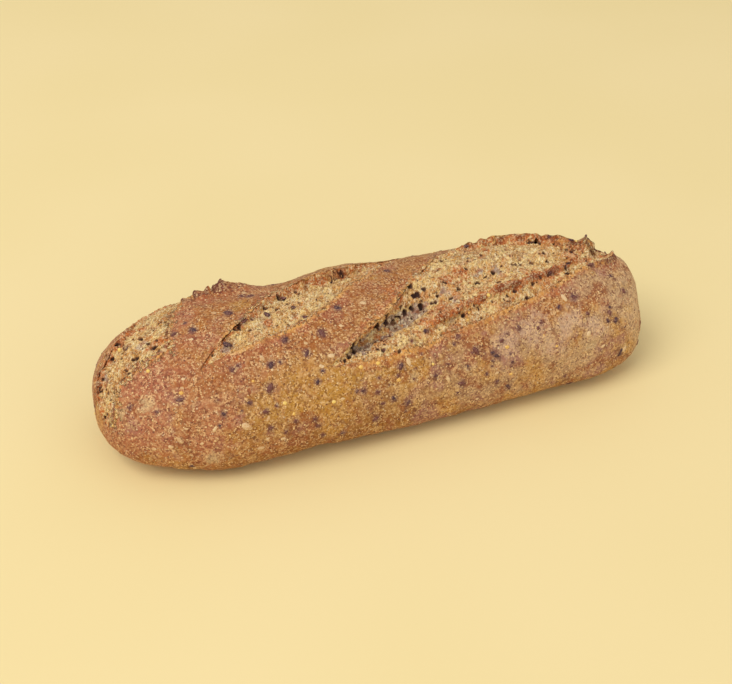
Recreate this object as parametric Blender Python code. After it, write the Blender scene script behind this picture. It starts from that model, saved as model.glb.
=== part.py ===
"""A multigrain loaf: one baked solid with three slashes across its top and grains in its crust.

Metres, +Z up. The loaf lies along X, its round end at -X and its blunt end at +X, and its near side
faces -Y. The origin is on the ground, under the middle of the loaf.

The body is a superellipsoid with a flat base. A slash opens its top between two lips, each a smooth
curve seen from above. The crust rolls up at the near lip and leans over the slash at the far one, as
an ear. The torn crumb between them lies deep under the ear and swells up where the dough burst. Four
crags of crust stand up behind the slash at the round end.
"""

import bisect
import math
import random
from collections import namedtuple

import bmesh
import bpy
from mathutils import Matrix, Vector, noise

MM = 0.001
SMALL = 1e-6

# The body
LENGTH = 240 * MM
WIDTH = 81.8 * MM  # at mid-length
HEIGHT = 54.7 * MM  # of the body's crest, without the ears
WIDEST_AT = 17.8 * MM  # height at which the sides bulge most
ROUND_END, BLUNT_END = 3.24, 5.0  # superellipse exponents in plan
TOP_SECTION, BASE_SECTION = 2.15, 2.92  # superellipse exponents above and below the widest height
TAPER = -0.08  # share by which the blunt end is narrower than the middle, and the round end wider
FALL = -0.03  # share by which the blunt end is lower than the middle
CROWN = -0.076  # how much later than its width the loaf's height falls towards its ends
BASE_DROP = 1.12  # where the section would end under the widest height, as a share of it, if not cut flat
SWELLS = ((1.1 * MM, 46 * MM), (0.45 * MM, 13 * MM))  # unevenness of the dough: height, wavelength
BUMPS = (  # bumps and dents of the dough: x, y, z, radius and height in millimetres
    (112, 16, 34, 20, -4.5), (117, -6, 44, 10, 2.5), (94, -33, 7, 12, 0.9), (-9, 27, 47, 12, 1.4),
    (-33, 28, 46, 12, -1.6), (-38, -37, 5, 14, -1.5), (-76, 27, 46, 12, 1.3), (-76, -36, 6, 12, 1.2),
    (-100, 23, 42, 16, -0.9), (-116, 14, 34, 14, -1.4), (-120, 2, 14, 14, 1.2),
)

# The slashes
WALL = 0.9 * MM  # the drop from lip to crumb happens over this distance
LIP_ROLL, EAR_ROLL = 3.5 * MM, 7 * MM  # how far back a near lip curls, and an ear lifts
CRUMB_ROLL = 6 * MM  # how far into the crumb either of them reaches
FULL_OPENING = 10 * MM  # a slash is shallower where it is narrower than this
RAGGED, TEAR_LENGTH = 0.6 * MM, 6 * MM  # unevenness of a torn lip: height, wavelength
NEAR_TEAR, FAR_TEAR = 0, 9  # rows of the noise that tear the two lips
CRUMB_BUMP, CRUMB_LENGTH = 0.8 * MM, 7 * MM  # unevenness of the crumb: height, wavelength
LOWEST_CUT = 12 * MM  # no slash reaches lower
SLOPE_STEP = 0.5  # half the stretch, in millimetres, over which a lip's slope is taken
CRAG_EDGE = 0.7  # share of a crag's depth over which it rises to its full height
CRAG_RISE = 0.5  # the power by which a crag's left side goes up: under 1 makes it blunt

# The mesh
CELLS = (39, 12, 8)  # along X, Y and Z
REFINE_WITHIN = 4 * MM  # of a slash, where cells are halved
SNAP = 0.22  # share of an edge within which its end moves onto a lip
SMOOTH_UNDER = math.radians(50)

# The grains
SEED = 20
FLAX_COUNT = 80
FLAX_SIZE = Vector((4.6, 2.5, 1.9)) * MM
FLAX_SCALES = (0.8, 1.1)
FLAX_SUNK = 0.3 * MM  # depth of a grain's middle under the crust
FLAX_LOWEST = 4 * MM  # no grain lies lower
TRIES = 12  # places drawn for each grain, of which the furthest from all others is kept

CRUST_COLOUR = (0.44, 0.235, 0.09, 1)
CRUMB_COLOUR = (0.60, 0.37, 0.17, 1)
FLAX_COLOUR = (0.09, 0.035, 0.03, 1)
CRUST, CRUMB = 0, 1  # material slots of the loaf

# A slash is seen from above, or from a view tilted towards the round end, and u is the distance along
# the loaf in that view. Its lips are points (u, y), and its crumb is the depth below the crust at even
# steps from near lip to far, at each given u. At each given u, the near lip curls up by near_rise, and
# the ear at the far one is a height and an overhang. Lengths are in millimetres, the tilt in degrees.
Slash = namedtuple("Slash", "tilt near far crumb near_rise ear")

END_SLASH = Slash(
    tilt=45,
    near=(
        (-68, -17), (-62, -19.3), (-56, -17.4), (-51, -13.5), (-37, -11), (-28, -7.5), (-25, 3),
        (-21, 15), (-16, 25), (-9, 33),
    ),
    far=(
        (-68, -17), (-63, -6), (-59, -0.5), (-52, 2.5), (-47, 6.5), (-43, 12), (-39, 21), (-34, 27),
        (-25, 33), (-15, 35), (-9, 33),
    ),
    crumb=(
        (-68, (0.3, 0.8, 1.4, 1.6, 1.0)),
        (-38, (0.2, 0.9, 1.4, 1.5, 1.0)),
        (-10, (0.3, 0.9, 1.0, 0.9, 0.6)),
    ),
    near_rise=((-68, 0.1), (-25, 0.2), (-20, 0.8)),
    ear=((-68, 0.0, 0.2), (-38, 0.3, 0.4), (-10, 0.2, 0.0)),
)
MIDDLE_SLASH = Slash(
    tilt=0,
    near=((-80, -23), (-60, -19.5), (-40, -16.5), (-26, -10.5), (-12, 0), (2, 9), (22, 23)),
    far=((-80, -23), (-69, -14.5), (-55, -4), (-42, 7), (-28, 13), (-10, 16), (22, 23)),
    crumb=(
        (-80, (0.5, 1.2, 1.6, 1.8, 1.6)),
        (-50, (0.4, 1.2, 1.6, 2.0, 2.2)),
        (-20, (0.5, 1.0, 1.4, 3.0, 3.4)),
        (15, (0.6, 1.2, 1.6, 2.0, 2.0)),
    ),
    near_rise=((-80, 0.3), (-20, 0.5), (20, 0.3)),
    ear=(
        (-80, 0.1, 0.0), (-50, 0.1, 0.0), (-36, 0.2, 0.2), (-26, 2.0, 2.0), (-8, 2.2, 1.8), (4, 1.0, 0.8),
        (20, 0.3, 0.2),
    ),
)
BURST_SLASH = Slash(
    tilt=0,
    near=(
        (-30, -33), (-5, -32.4), (22, -29.5), (48, -25.7), (70, -20.6), (90, -12.5), (108, -7), (115, 5),
    ),
    far=(
        (-30, -33), (-15, -24.5), (4, -13), (20, 0), (36, 13), (58, 20), (80, 13), (98, 3), (106, 12),
        (115, 5),
    ),
    crumb=(
        (-30, (0.8, 1.5, 2.5, 3.5, 4.5, 5.0, 5.0, 4.0, 1.5)),
        (-8, (0.8, 1.4, 2.0, 3.5, 6.0, 7.5, 8.0, 6.5, 2.5)),
        (4, (0.8, 1.2, 1.4, 3.0, 7.0, 7.5, 6.0, 3.0, 1.2)),
        (15, (0.8, 1.0, 0.8, 3.0, 6.0, 4.5, 2.2, 1.4, 0.8)),
        (25, (0.8, 1.2, 0.2, 3.0, 3.4, 1.8, 0.9, 0.6, 0.4)),
        (38, (1.0, 1.1, 0.4, 2.8, 1.8, 0.3, 0.1, 0.3, 0.3)),
        (58, (1.0, 1.0, 0.4, 2.6, 1.6, 0.2, 0.0, 0.5, 2.6)),
        (85, (1.0, 1.0, 0.6, 2.4, 1.4, 0.4, 0.4, 1.0, 1.8)),
        (108, (0.6, 1.6, 2.6, 2.8, 2.6, 2.2, 1.8, 1.6, 1.6)),
    ),
    near_rise=((-30, 0.4), (40, 0.7), (90, 1.2), (106, 2.2), (114, 1.4)),
    ear=(
        (-30, 0.8, 0.8), (0, 1.0, 1.3), (14, 0.4, 0.5), (28, 0.0, 0.0), (46, 0.8, 0.0), (54, 2.2, 0.4),
        (64, 3.2, 0.8), (84, 4.0, 0.8), (94, 4.6, 0.8), (101, 4.2, 0.5), (109.2, 2.8, 0.3), (110, 0.2, 0.0),
    ),
)
SLASHES = (END_SLASH, MIDDLE_SLASH, BURST_SLASH)

# A crag is torn crust that stands up at x and y, over steep on its left, long on its right and deep on
# either side of it. It leans to the left by a share of its height, and its right side falls away as a
# power. Lengths are in millimetres.
Crag = namedtuple("Crag", "x y steep long deep height lean fall")
CRAGS = (
    Crag(-59.2, 23.5, 5.0, 18.0, 8.0, 4.9, 0.1, 1.3),
    Crag(-70.2, 19.5, 2.0, 5.5, 5.0, 3.2, 0.4, 0.3),
    Crag(-76.4, 17.0, 1.8, 3.5, 3.4, 1.9, 0.2, 0.4),
    Crag(-65.4, 22.0, 1.2, 2.0, 2.6, 2.2, -0.3, 0.8),
)


def clear_scene():
    for thing in list(bpy.data.objects):
        bpy.data.objects.remove(thing)


def plain_material(name, colour, roughness):
    material = bpy.data.materials.new(name)
    material.use_nodes = True
    shader = material.node_tree.nodes["Principled BSDF"]
    shader.inputs["Base Color"].default_value = colour
    shader.inputs["Roughness"].default_value = roughness
    shader.inputs["Metallic"].default_value = 0
    return material


def through(points, x):
    """The value at x of a smooth curve through points (x, value), held level before and after them."""
    if x <= points[0][0] or len(points) == 1:
        return points[0][1]
    if x >= points[-1][0]:
        return points[-1][1]
    piece = bisect.bisect_right([point[0] for point in points], x) - 1
    (x0, y0), (x1, y1) = points[piece], points[piece + 1]
    before = points[max(piece - 1, 0)]
    after = points[min(piece + 2, len(points) - 1)]
    slope0 = (y1 - before[1]) / (x1 - before[0])
    slope1 = (after[1] - y0) / (after[0] - x0)
    step = x1 - x0
    t = (x - x0) / step
    bend = (t - 1) ** 2 * t * step * slope0 + t * t * (t - 1) * step * slope1
    return y0 + (y1 - y0) * t * t * (3 - 2 * t) + bend


def slope_at(lip, u):
    return (through(lip, u + SLOPE_STEP) - through(lip, u - SLOPE_STEP)) / (2 * SLOPE_STEP)


def body_point(cube):
    """The point of the body's surface for a point of the cube that runs from -1 to 1."""
    end = ROUND_END if cube.x < 0 else BLUNT_END
    section = TOP_SECTION if cube.z > 0 else BASE_SECTION
    across = (abs(cube.y) ** section + abs(cube.z) ** section) ** (1 / section)
    reach = (abs(cube.x) ** end + across**end) ** (1 / end)
    along, side, up = cube / reach
    girth = max(across / reach, SMALL)
    if up > 0:
        rise = (HEIGHT - WIDEST_AT) * up * girth**CROWN * (1 + FALL * along)
    else:
        rise = WIDEST_AT * BASE_DROP * up
    return Vector((along * LENGTH / 2, side * WIDTH / 2 * (1 + TAPER * along), WIDEST_AT + rise))


def unevenness(point):
    """How far the dough stands out from the smooth body at a point of it."""
    out = sum(height * noise.noise(point / length) for height, length in SWELLS)
    for x, y, z, radius, height in BUMPS:
        away = (point / MM - Vector((x, y, z))).length / radius
        out += height * MM * math.exp(-away * away)
    return out


def move_verts(mesh, moves):
    for vert, move in zip(mesh.verts, moves):
        vert.co += move


def body_mesh():
    """The uneven body with its flat base, before it is slashed."""
    mesh = bmesh.new()
    bmesh.ops.create_cube(mesh, size=2)
    for axis, count in enumerate(CELLS):
        lengthwise = [
            edge for edge in mesh.edges if abs(edge.verts[0].co[axis] - edge.verts[1].co[axis]) > SMALL
        ]
        bmesh.ops.subdivide_edges(mesh, edges=lengthwise, cuts=count - 1, use_grid_fill=True)
    for vert in mesh.verts:
        vert.co = body_point(vert.co)
    mesh.normal_update()
    move_verts(mesh, [vert.normal * unevenness(vert.co) for vert in mesh.verts])
    everything = mesh.verts[:] + mesh.edges[:] + mesh.faces[:]
    bmesh.ops.bisect_plane(
        mesh, geom=everything, plane_co=(0, 0, 0), plane_no=(0, 0, 1), clear_inner=True
    )
    bmesh.ops.holes_fill(mesh, edges=mesh.edges[:])
    return mesh


class Place:
    """Where a point lies in a slash. Lengths are in metres, but u is in millimetres as the lips are."""

    def __init__(self, slash, point):
        tilt = math.radians(slash.tilt)
        self.u = (point.x * math.cos(tilt) + point.z * math.sin(tilt)) / MM
        first, last = slash.near[0][0], slash.near[-1][0]
        near, far = through(slash.near, self.u) * MM, through(slash.far, self.u) * MM
        gap = far - near
        self.opening = min(max(gap / FULL_OPENING, 0), 1) if first < self.u < last else 0
        tear = RAGGED * self.opening
        near += tear * noise.noise(Vector((self.u * MM / TEAR_LENGTH, NEAR_TEAR, 0)))
        far += tear * noise.noise(Vector((self.u * MM / TEAR_LENGTH, FAR_TEAR, 0)))
        near_slope, far_slope = slope_at(slash.near, self.u), slope_at(slash.far, self.u)
        self.from_near = (point.y - near) / math.hypot(1, near_slope)
        self.to_far = (far - point.y) / math.hypot(1, far_slope)
        self.inside = min(self.from_near, self.to_far)
        if not first < self.u < last:
            self.inside = -max(first - self.u, self.u - last) * MM
        self.share = min(max((point.y - near) / max(gap, SMALL), 0), 1)
        self.lean = Vector((far_slope * math.cos(tilt), -1, far_slope * math.sin(tilt)))


def crumb_depth(slash, place):
    """Depth of the crumb under the crust at a place in a slash."""
    steps = len(slash.crumb[0][1]) - 1
    levels = [
        (step / steps, through([(u, depths[step]) for u, depths in slash.crumb], place.u))
        for step in range(steps + 1)
    ]
    return through(levels, place.share) * MM


def lift(slash, place, normal):
    """How far the curl of the near lip or the ear at the far one moves a point, on crust or crumb."""
    on_crumb = max(place.inside, 0) / CRUMB_ROLL
    if place.from_near < place.to_far:
        roll = max(1 - max(-place.from_near, 0) / LIP_ROLL - on_crumb, 0) ** 2
        return normal * through(slash.near_rise, place.u) * MM * roll
    roll = max(1 - max(-place.to_far, 0) / EAR_ROLL - on_crumb, 0) ** 2
    stand = through([(u, up) for u, up, _ in slash.ear], place.u)
    over = through([(u, over) for u, _, over in slash.ear], place.u)
    lean = (place.lean - normal * place.lean.dot(normal)).normalized()
    return (normal * stand + lean * over) * MM * roll


def relief(slash, point, normal):
    """How far a slash moves a point of the body's surface."""
    place = Place(slash, point)
    if not place.opening:
        return Vector()
    depth = crumb_depth(slash, place) + CRUMB_BUMP * noise.noise(point / CRUMB_LENGTH)
    sunk = normal * depth * min(max(place.inside / WALL, 0), 1)
    return (lift(slash, place, normal) - sunk) * place.opening


def torn_up(crag, point, normal):
    """How far a crag moves a point of the body's surface."""
    ahead, side = point.x / MM - crag.x, point.y / MM - crag.y
    along = min(max(1 + ahead / (crag.steep if ahead < 0 else -crag.long), 0), 1)
    across = min(max((1 - abs(side) / crag.deep) / CRAG_EDGE, 0), 1)
    height = crag.height * MM * along ** (CRAG_RISE if ahead < 0 else crag.fall) * across
    return (normal - Vector((crag.lean, 0, 0))) * height


def inside_any(point, margin):
    """Whether a point lies in a slash by more than a margin, or near one if the margin is negative."""
    return point.z > LOWEST_CUT and any(Place(slash, point).inside > margin for slash in SLASHES)


def by_crag(point):
    """Whether a point of the top lies on or close to a crag."""
    return point.z > LOWEST_CUT and any(
        math.hypot(point.x / MM - crag.x, point.y / MM - crag.y) < crag.deep + crag.steep for crag in CRAGS
    )


def refine(mesh):
    """Halves the cells in and round the slashes and crags."""
    mesh.edges.index_update()
    close = [vert for vert in mesh.verts if inside_any(vert.co, -REFINE_WITHIN) or by_crag(vert.co)]
    edges = {edge for vert in close for face in vert.link_faces for edge in face.edges}
    bmesh.ops.subdivide_edges(
        mesh, edges=sorted(edges, key=lambda edge: edge.index), cuts=1, use_grid_fill=True
    )


def cut_along(mesh, level):
    """Runs a line of edges along the places where level is zero."""
    values = {vert: level(vert.co) for vert in mesh.verts}

    def crosses(edge):
        start, end = edge.verts
        return values[start] * values[end] < 0

    def share_of(edge):
        start, end = edge.verts
        return values[start] / (values[start] - values[end])

    for edge in filter(crosses, mesh.edges):
        for vert, share in zip(edge.verts, (share_of(edge), 1 - share_of(edge))):
            if share < SNAP:
                vert.co = vert.co.lerp(edge.other_vert(vert).co, share)
                values[vert] = 0
                break
    for edge in list(filter(crosses, mesh.edges)):
        vert = bmesh.utils.edge_split(edge, edge.verts[0], share_of(edge))[1]
        values[vert] = 0
    bmesh.ops.connect_verts(mesh, verts=[vert for vert in mesh.verts if values[vert] == 0])


def cut_lips(mesh):
    """Runs edges along each lip and along the foot of its wall, down to where slashes reach."""
    for slash in SLASHES:
        for depth in (0, WALL):
            cut_along(
                mesh,
                lambda point: Place(slash, point).inside - depth if point.z > LOWEST_CUT else -1,
            )


def slash_open(mesh):
    refine(mesh)
    cut_lips(mesh)
    for face in mesh.faces:
        if inside_any(face.calc_center_median(), WALL):
            face.material_index = CRUMB
    mesh.normal_update()
    moves = {vert: Vector() for vert in mesh.verts}
    for vert in filter(lambda vert: vert.co.z > LOWEST_CUT, mesh.verts):
        for slash in SLASHES:
            moves[vert] += relief(slash, vert.co, vert.normal)
        for crag in CRAGS:
            moves[vert] += torn_up(crag, vert.co, vert.normal)
    move_verts(mesh, moves.values())


def solid(name, mesh, materials):
    """An object that holds a bmesh, in no collection yet."""
    data = bpy.data.meshes.new(name)
    mesh.to_mesh(data)
    mesh.free()
    for material in materials:
        data.materials.append(material)
    return bpy.data.objects.new(name, data)


def spread_faces(data, count, draw):
    """Faces of the crust spread evenly over it: each is the one of a few draws furthest from the rest."""
    crust = [
        face for face in data.polygons if face.material_index == CRUST and face.center.z > FLAX_LOWEST
    ]
    areas = [face.area for face in crust]
    chosen = []

    def clearance(face):
        return min(((face.center - other.center).length for other in chosen), default=0)

    for _ in range(count):
        chosen.append(max(draw.choices(crust, weights=areas, k=TRIES), key=clearance))
    return chosen


def grain(size, place):
    """A 20-sided grain of a size."""
    mesh = bmesh.new()
    bmesh.ops.create_icosphere(mesh, subdivisions=1, radius=0.5)
    bmesh.ops.scale(mesh, vec=size, verts=mesh.verts)
    bmesh.ops.transform(mesh, matrix=place, verts=mesh.verts)
    return mesh


def flax(loaf, material, draw):
    """Grains lying half sunk all over the crust."""
    for index, face in enumerate(spread_faces(loaf.data, FLAX_COUNT, draw)):
        middle = Matrix.Translation(face.center - face.normal * FLAX_SUNK)
        upright = face.normal.to_track_quat("Z", "Y").to_matrix().to_4x4()
        turn = Matrix.Rotation(draw.uniform(0, math.pi), 4, "Z")
        size = FLAX_SIZE * draw.uniform(*FLAX_SCALES)
        yield solid(f"flax_{index}", grain(size, middle @ upright @ turn), [material])


def join(loaf, pieces):
    """Makes the loaf and the grains that lie in its crust one solid."""
    collection = bpy.data.collections.new("joined")
    bpy.context.scene.collection.children.link(collection)
    for piece in pieces:
        collection.objects.link(piece)
    union = loaf.modifiers.new("join", "BOOLEAN")
    union.operation = "UNION"
    union.operand_type = "COLLECTION"
    union.collection = collection
    union.solver = "EXACT"
    union.material_mode = "TRANSFER"
    with bpy.context.temp_override(object=loaf, active_object=loaf):
        bpy.ops.object.modifier_apply(modifier=union.name)
    for piece in pieces:
        bpy.data.objects.remove(piece)
    bpy.data.collections.remove(collection)


def main():
    clear_scene()
    draw = random.Random(SEED)
    crust = plain_material("crust", CRUST_COLOUR, 0.75)
    crumb = plain_material("crumb", CRUMB_COLOUR, 0.9)
    mesh = body_mesh()
    slash_open(mesh)
    bmesh.ops.triangulate(mesh, faces=mesh.faces[:])
    loaf = solid("loaf", mesh, [crust, crumb])
    bpy.context.scene.collection.objects.link(loaf)
    pieces = list(flax(loaf, plain_material("flax", FLAX_COLOUR, 0.5), draw))
    join(loaf, pieces)
    loaf.data.shade_smooth()
    loaf.data.set_sharp_from_angle(angle=SMOOTH_UNDER)


main()
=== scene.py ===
"""The looks of a multigrain loaf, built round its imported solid.

Metres, +Z up, in the frame of the solid: the loaf lies along X with its round end at -X, and its near
side faces -Y. The crust is one closed shell, open at three slashes and torn up into crags at one place.
A torn crumb fills each slash, and grains lie on both. The sizes of the body, the slashes and the crags
are the solid's own.
"""

from __future__ import annotations

import logging
import math
import random
from dataclasses import dataclass, field
from enum import Enum
from typing import Mapping, Sequence

import bmesh
import bpy
import numpy as np
from mathutils import Matrix, Vector, noise
from mathutils.bvhtree import BVHTree
from mathutils.kdtree import KDTree

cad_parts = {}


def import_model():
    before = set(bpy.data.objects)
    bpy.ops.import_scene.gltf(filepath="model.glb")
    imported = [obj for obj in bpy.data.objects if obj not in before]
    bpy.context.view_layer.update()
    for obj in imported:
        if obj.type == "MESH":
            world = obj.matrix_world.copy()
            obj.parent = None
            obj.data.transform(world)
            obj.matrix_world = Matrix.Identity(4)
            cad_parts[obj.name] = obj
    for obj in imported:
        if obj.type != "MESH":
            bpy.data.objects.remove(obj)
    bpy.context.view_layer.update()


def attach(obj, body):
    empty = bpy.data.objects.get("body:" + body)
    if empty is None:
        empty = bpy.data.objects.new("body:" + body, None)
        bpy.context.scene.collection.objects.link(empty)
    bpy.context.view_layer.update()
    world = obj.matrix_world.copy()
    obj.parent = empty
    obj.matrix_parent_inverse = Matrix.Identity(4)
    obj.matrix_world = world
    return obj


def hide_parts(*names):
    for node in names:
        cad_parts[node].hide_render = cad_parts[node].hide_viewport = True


MM = 0.001
SMALL = 1e-6
MIDST = (0.3, 0.7)  # most of a soft noise from 0 to 1 lies between these

Points = Sequence[tuple[float, float]]
Marks = Sequence[tuple[float, float, float]]
Colour = tuple[float, float, float, float]
Socket = bpy.types.NodeSocket

log = logging.getLogger("loaf")


def srgb(red: int, green: int, blue: int) -> Colour:
    """The linear colour of an 8-bit one.

    Args:
        red: The red share, 0 to 255.
        green: The green share, 0 to 255.
        blue: The blue share, 0 to 255.

    Returns:
        Linear red, green, blue and an alpha of 1.
    """
    shares = [value / 255 for value in (red, green, blue)]
    linear = [s / 12.92 if s <= 0.04045 else ((s + 0.055) / 1.055) ** 2.4 for s in shares]
    return (linear[0], linear[1], linear[2], 1.0)


def curve(ends: Sequence[np.ndarray], slopes: Sequence[np.ndarray], t: np.ndarray) -> np.ndarray:
    """The smooth curve from one value to another.

    Args:
        ends: The values at its start and end.
        slopes: Its slopes there, for each step from start to end.
        t: Where to read it, from 0 at the start to 1 at the end.

    Returns:
        One value for each t.
    """
    bend = (t - 1) ** 2 * t * slopes[0] + t * t * (t - 1) * slopes[1]
    return ends[0] + (ends[1] - ends[0]) * t * t * (3 - 2 * t) + bend


def through(points: Points, x: np.ndarray) -> np.ndarray:
    """Values at x of the smooth curve through points (x, value), held level before and after them.

    Args:
        points: Points in rising order of x.
        x: Where to read the curve.

    Returns:
        One value for each x.
    """
    knots, values = np.array(points, float).T
    if len(knots) == 1:
        return np.full_like(x, values[0])
    slopes = np.empty_like(values)
    slopes[1:-1] = (values[2:] - values[:-2]) / (knots[2:] - knots[:-2])
    slopes[0] = (values[1] - values[0]) / (knots[1] - knots[0])
    slopes[-1] = (values[-1] - values[-2]) / (knots[-1] - knots[-2])
    x = np.clip(x, knots[0], knots[-1])
    piece = np.clip(np.searchsorted(knots, x, side="right") - 1, 0, len(knots) - 2)
    step = knots[piece + 1] - knots[piece]
    ends = (values[piece], values[piece + 1])
    return curve(ends, (step * slopes[piece], step * slopes[piece + 1]), (x - knots[piece]) / step)


def noise_at(points: np.ndarray, lengths: float | tuple[float, ...], shift: float = 0) -> np.ndarray:
    """Smooth noise between about -1 and 1 at each point.

    Args:
        points: An array of points, one a row.
        lengths: The noise's wavelength, or one for each axis.
        shift: How far along every axis the noise is moved, in wavelengths.

    Returns:
        One value for each point.
    """
    scaled = points / np.array(lengths) + shift
    return np.fromiter((noise.noise(point) for point in scaled.tolist()), float, len(points))


def row_noise(values: np.ndarray, length: float, row: float) -> np.ndarray:
    """Smooth noise along one axis.

    Args:
        values: Where along the axis to read it.
        length: The noise's wavelength.
        row: Which row of the noise is read.

    Returns:
        One value for each place.
    """
    places = np.stack([values / length, np.full_like(values, row), np.zeros_like(values)], 1)
    return noise_at(places, 1)


def rise(values: np.ndarray, low: float, high: float) -> np.ndarray:
    """Values eased from 0 at low to 1 at high."""
    t = np.clip((values - low) / (high - low), 0, 1)
    return t * t * (3 - 2 * t)


def mix(start: np.ndarray, end: np.ndarray, share: np.ndarray) -> np.ndarray:
    """Values between start and end by a share."""
    return start + (end - start) * share


def unit(vectors: np.ndarray) -> np.ndarray:
    """Each row scaled to a length of 1."""
    return vectors / np.maximum(np.linalg.norm(vectors, axis=1, keepdims=True), SMALL)


def coordinates(mesh: bmesh.types.BMesh) -> np.ndarray:
    """The places of a mesh's corners, one a row."""
    return np.array([vert.co for vert in mesh.verts])


def normals(mesh: bmesh.types.BMesh) -> np.ndarray:
    """The directions in which a mesh's corners face, one a row."""
    mesh.normal_update()
    return np.array([vert.normal for vert in mesh.verts])


def move_to(mesh: bmesh.types.BMesh, points: np.ndarray) -> None:
    """Puts each corner of a mesh at its row of points."""
    for vert, point in zip(mesh.verts, points.tolist()):
        vert.co = point


def store(mesh: bmesh.types.BMesh, name: str, values: np.ndarray) -> None:
    """Keeps a value for each corner, which a material reads by its name.

    Args:
        mesh: The mesh to keep them on.
        name: The attribute's name.
        values: One value for each corner.
    """
    layer = mesh.verts.layers.float.get(name) or mesh.verts.layers.float.new(name)
    for vert, value in zip(mesh.verts, values.tolist()):
        vert[layer] = value


def store_closeness(mesh: bmesh.types.BMesh, name: str, marks: Sequence[tuple[Vector, float]]) -> None:
    """Keeps how close each corner is to its nearest mark, from 1 at its middle to 0 at its radius.

    Args:
        mesh: The mesh to keep it on.
        name: The attribute's name.
        marks: The marks' middles and radii.
    """
    tree = KDTree(len(marks))
    for index, (middle, _) in enumerate(marks):
        tree.insert(middle, index)
    tree.balance()
    found = (tree.find(vert.co) for vert in mesh.verts)
    store(mesh, name, np.array([max(1 - away / marks[index][1], 0) for _, index, away in found]))


def place_object(name: str, mesh: bmesh.types.BMesh, material: bpy.types.Material) -> bpy.types.Object:
    """Makes a smooth-shaded object of a bmesh, with its place in its mesh.

    Args:
        name: The piece's name.
        mesh: The finished mesh, which is freed.
        material: The piece's only material.

    Returns:
        The new object, at the origin.
    """
    data = bpy.data.meshes.new(name)
    mesh.to_mesh(data)
    mesh.free()
    data.materials.append(material)
    data.shade_smooth()
    piece = bpy.data.objects.new(name, data)
    bpy.context.scene.collection.objects.link(piece)
    log.info("%s: %d faces", name, len(data.polygons))
    return piece


@dataclass(frozen=True)
class View:
    """The camera's place and lens. Pixels are those of a picture of the size given here."""

    azimuth: float = -19.257
    elevation: float = 37.0
    distance: float = 500 * MM
    aim: tuple[float, float, float] = (0, 0, 28 * MM)
    shift_right: float = -3.36 * MM
    shift_up: float = -3.27 * MM
    focal: float = 57.07
    sensor: float = 36
    picture: tuple[int, int] = (732, 684)

    def axes(self) -> tuple[Vector, Vector, Vector]:
        """The camera's own directions.

        Returns:
            To the right, up, and back from the loaf to the camera.
        """
        azimuth, elevation = math.radians(self.azimuth), math.radians(self.elevation)
        flat = math.cos(elevation)
        back = Vector((math.sin(azimuth) * flat, -math.cos(azimuth) * flat, math.sin(elevation)))
        right = Vector((math.cos(azimuth), math.sin(azimuth), 0))
        return right, back.cross(right), back

    def eye(self) -> Vector:
        """Where the camera stands."""
        right, up, back = self.axes()
        return Vector(self.aim) + back * self.distance + right * self.shift_right + up * self.shift_up

    def ray(self, x: float, y: float) -> Vector:
        """The direction in which the camera sees a pixel.

        Args:
            x: The pixel's column.
            y: The pixel's row.

        Returns:
            The direction away from the camera.
        """
        right, up, back = self.axes()
        width, height = self.picture
        focal = self.focal / self.sensor * width
        return (right * (x - width / 2) - up * (y - height / 2) - back * focal).normalized()

    def add_camera(self) -> None:
        """Puts the camera there and makes it the scene's."""
        data = bpy.data.cameras.new("camera")
        data.lens = self.focal
        data.sensor_width = self.sensor
        data.clip_start = 10 * MM
        camera = bpy.data.objects.new("camera", data)
        camera.location = self.eye()
        camera.rotation_euler = self.axes()[2].to_track_quat("Z", "Y").to_euler()
        bpy.context.scene.collection.objects.link(camera)
        bpy.context.scene.camera = camera


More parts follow.
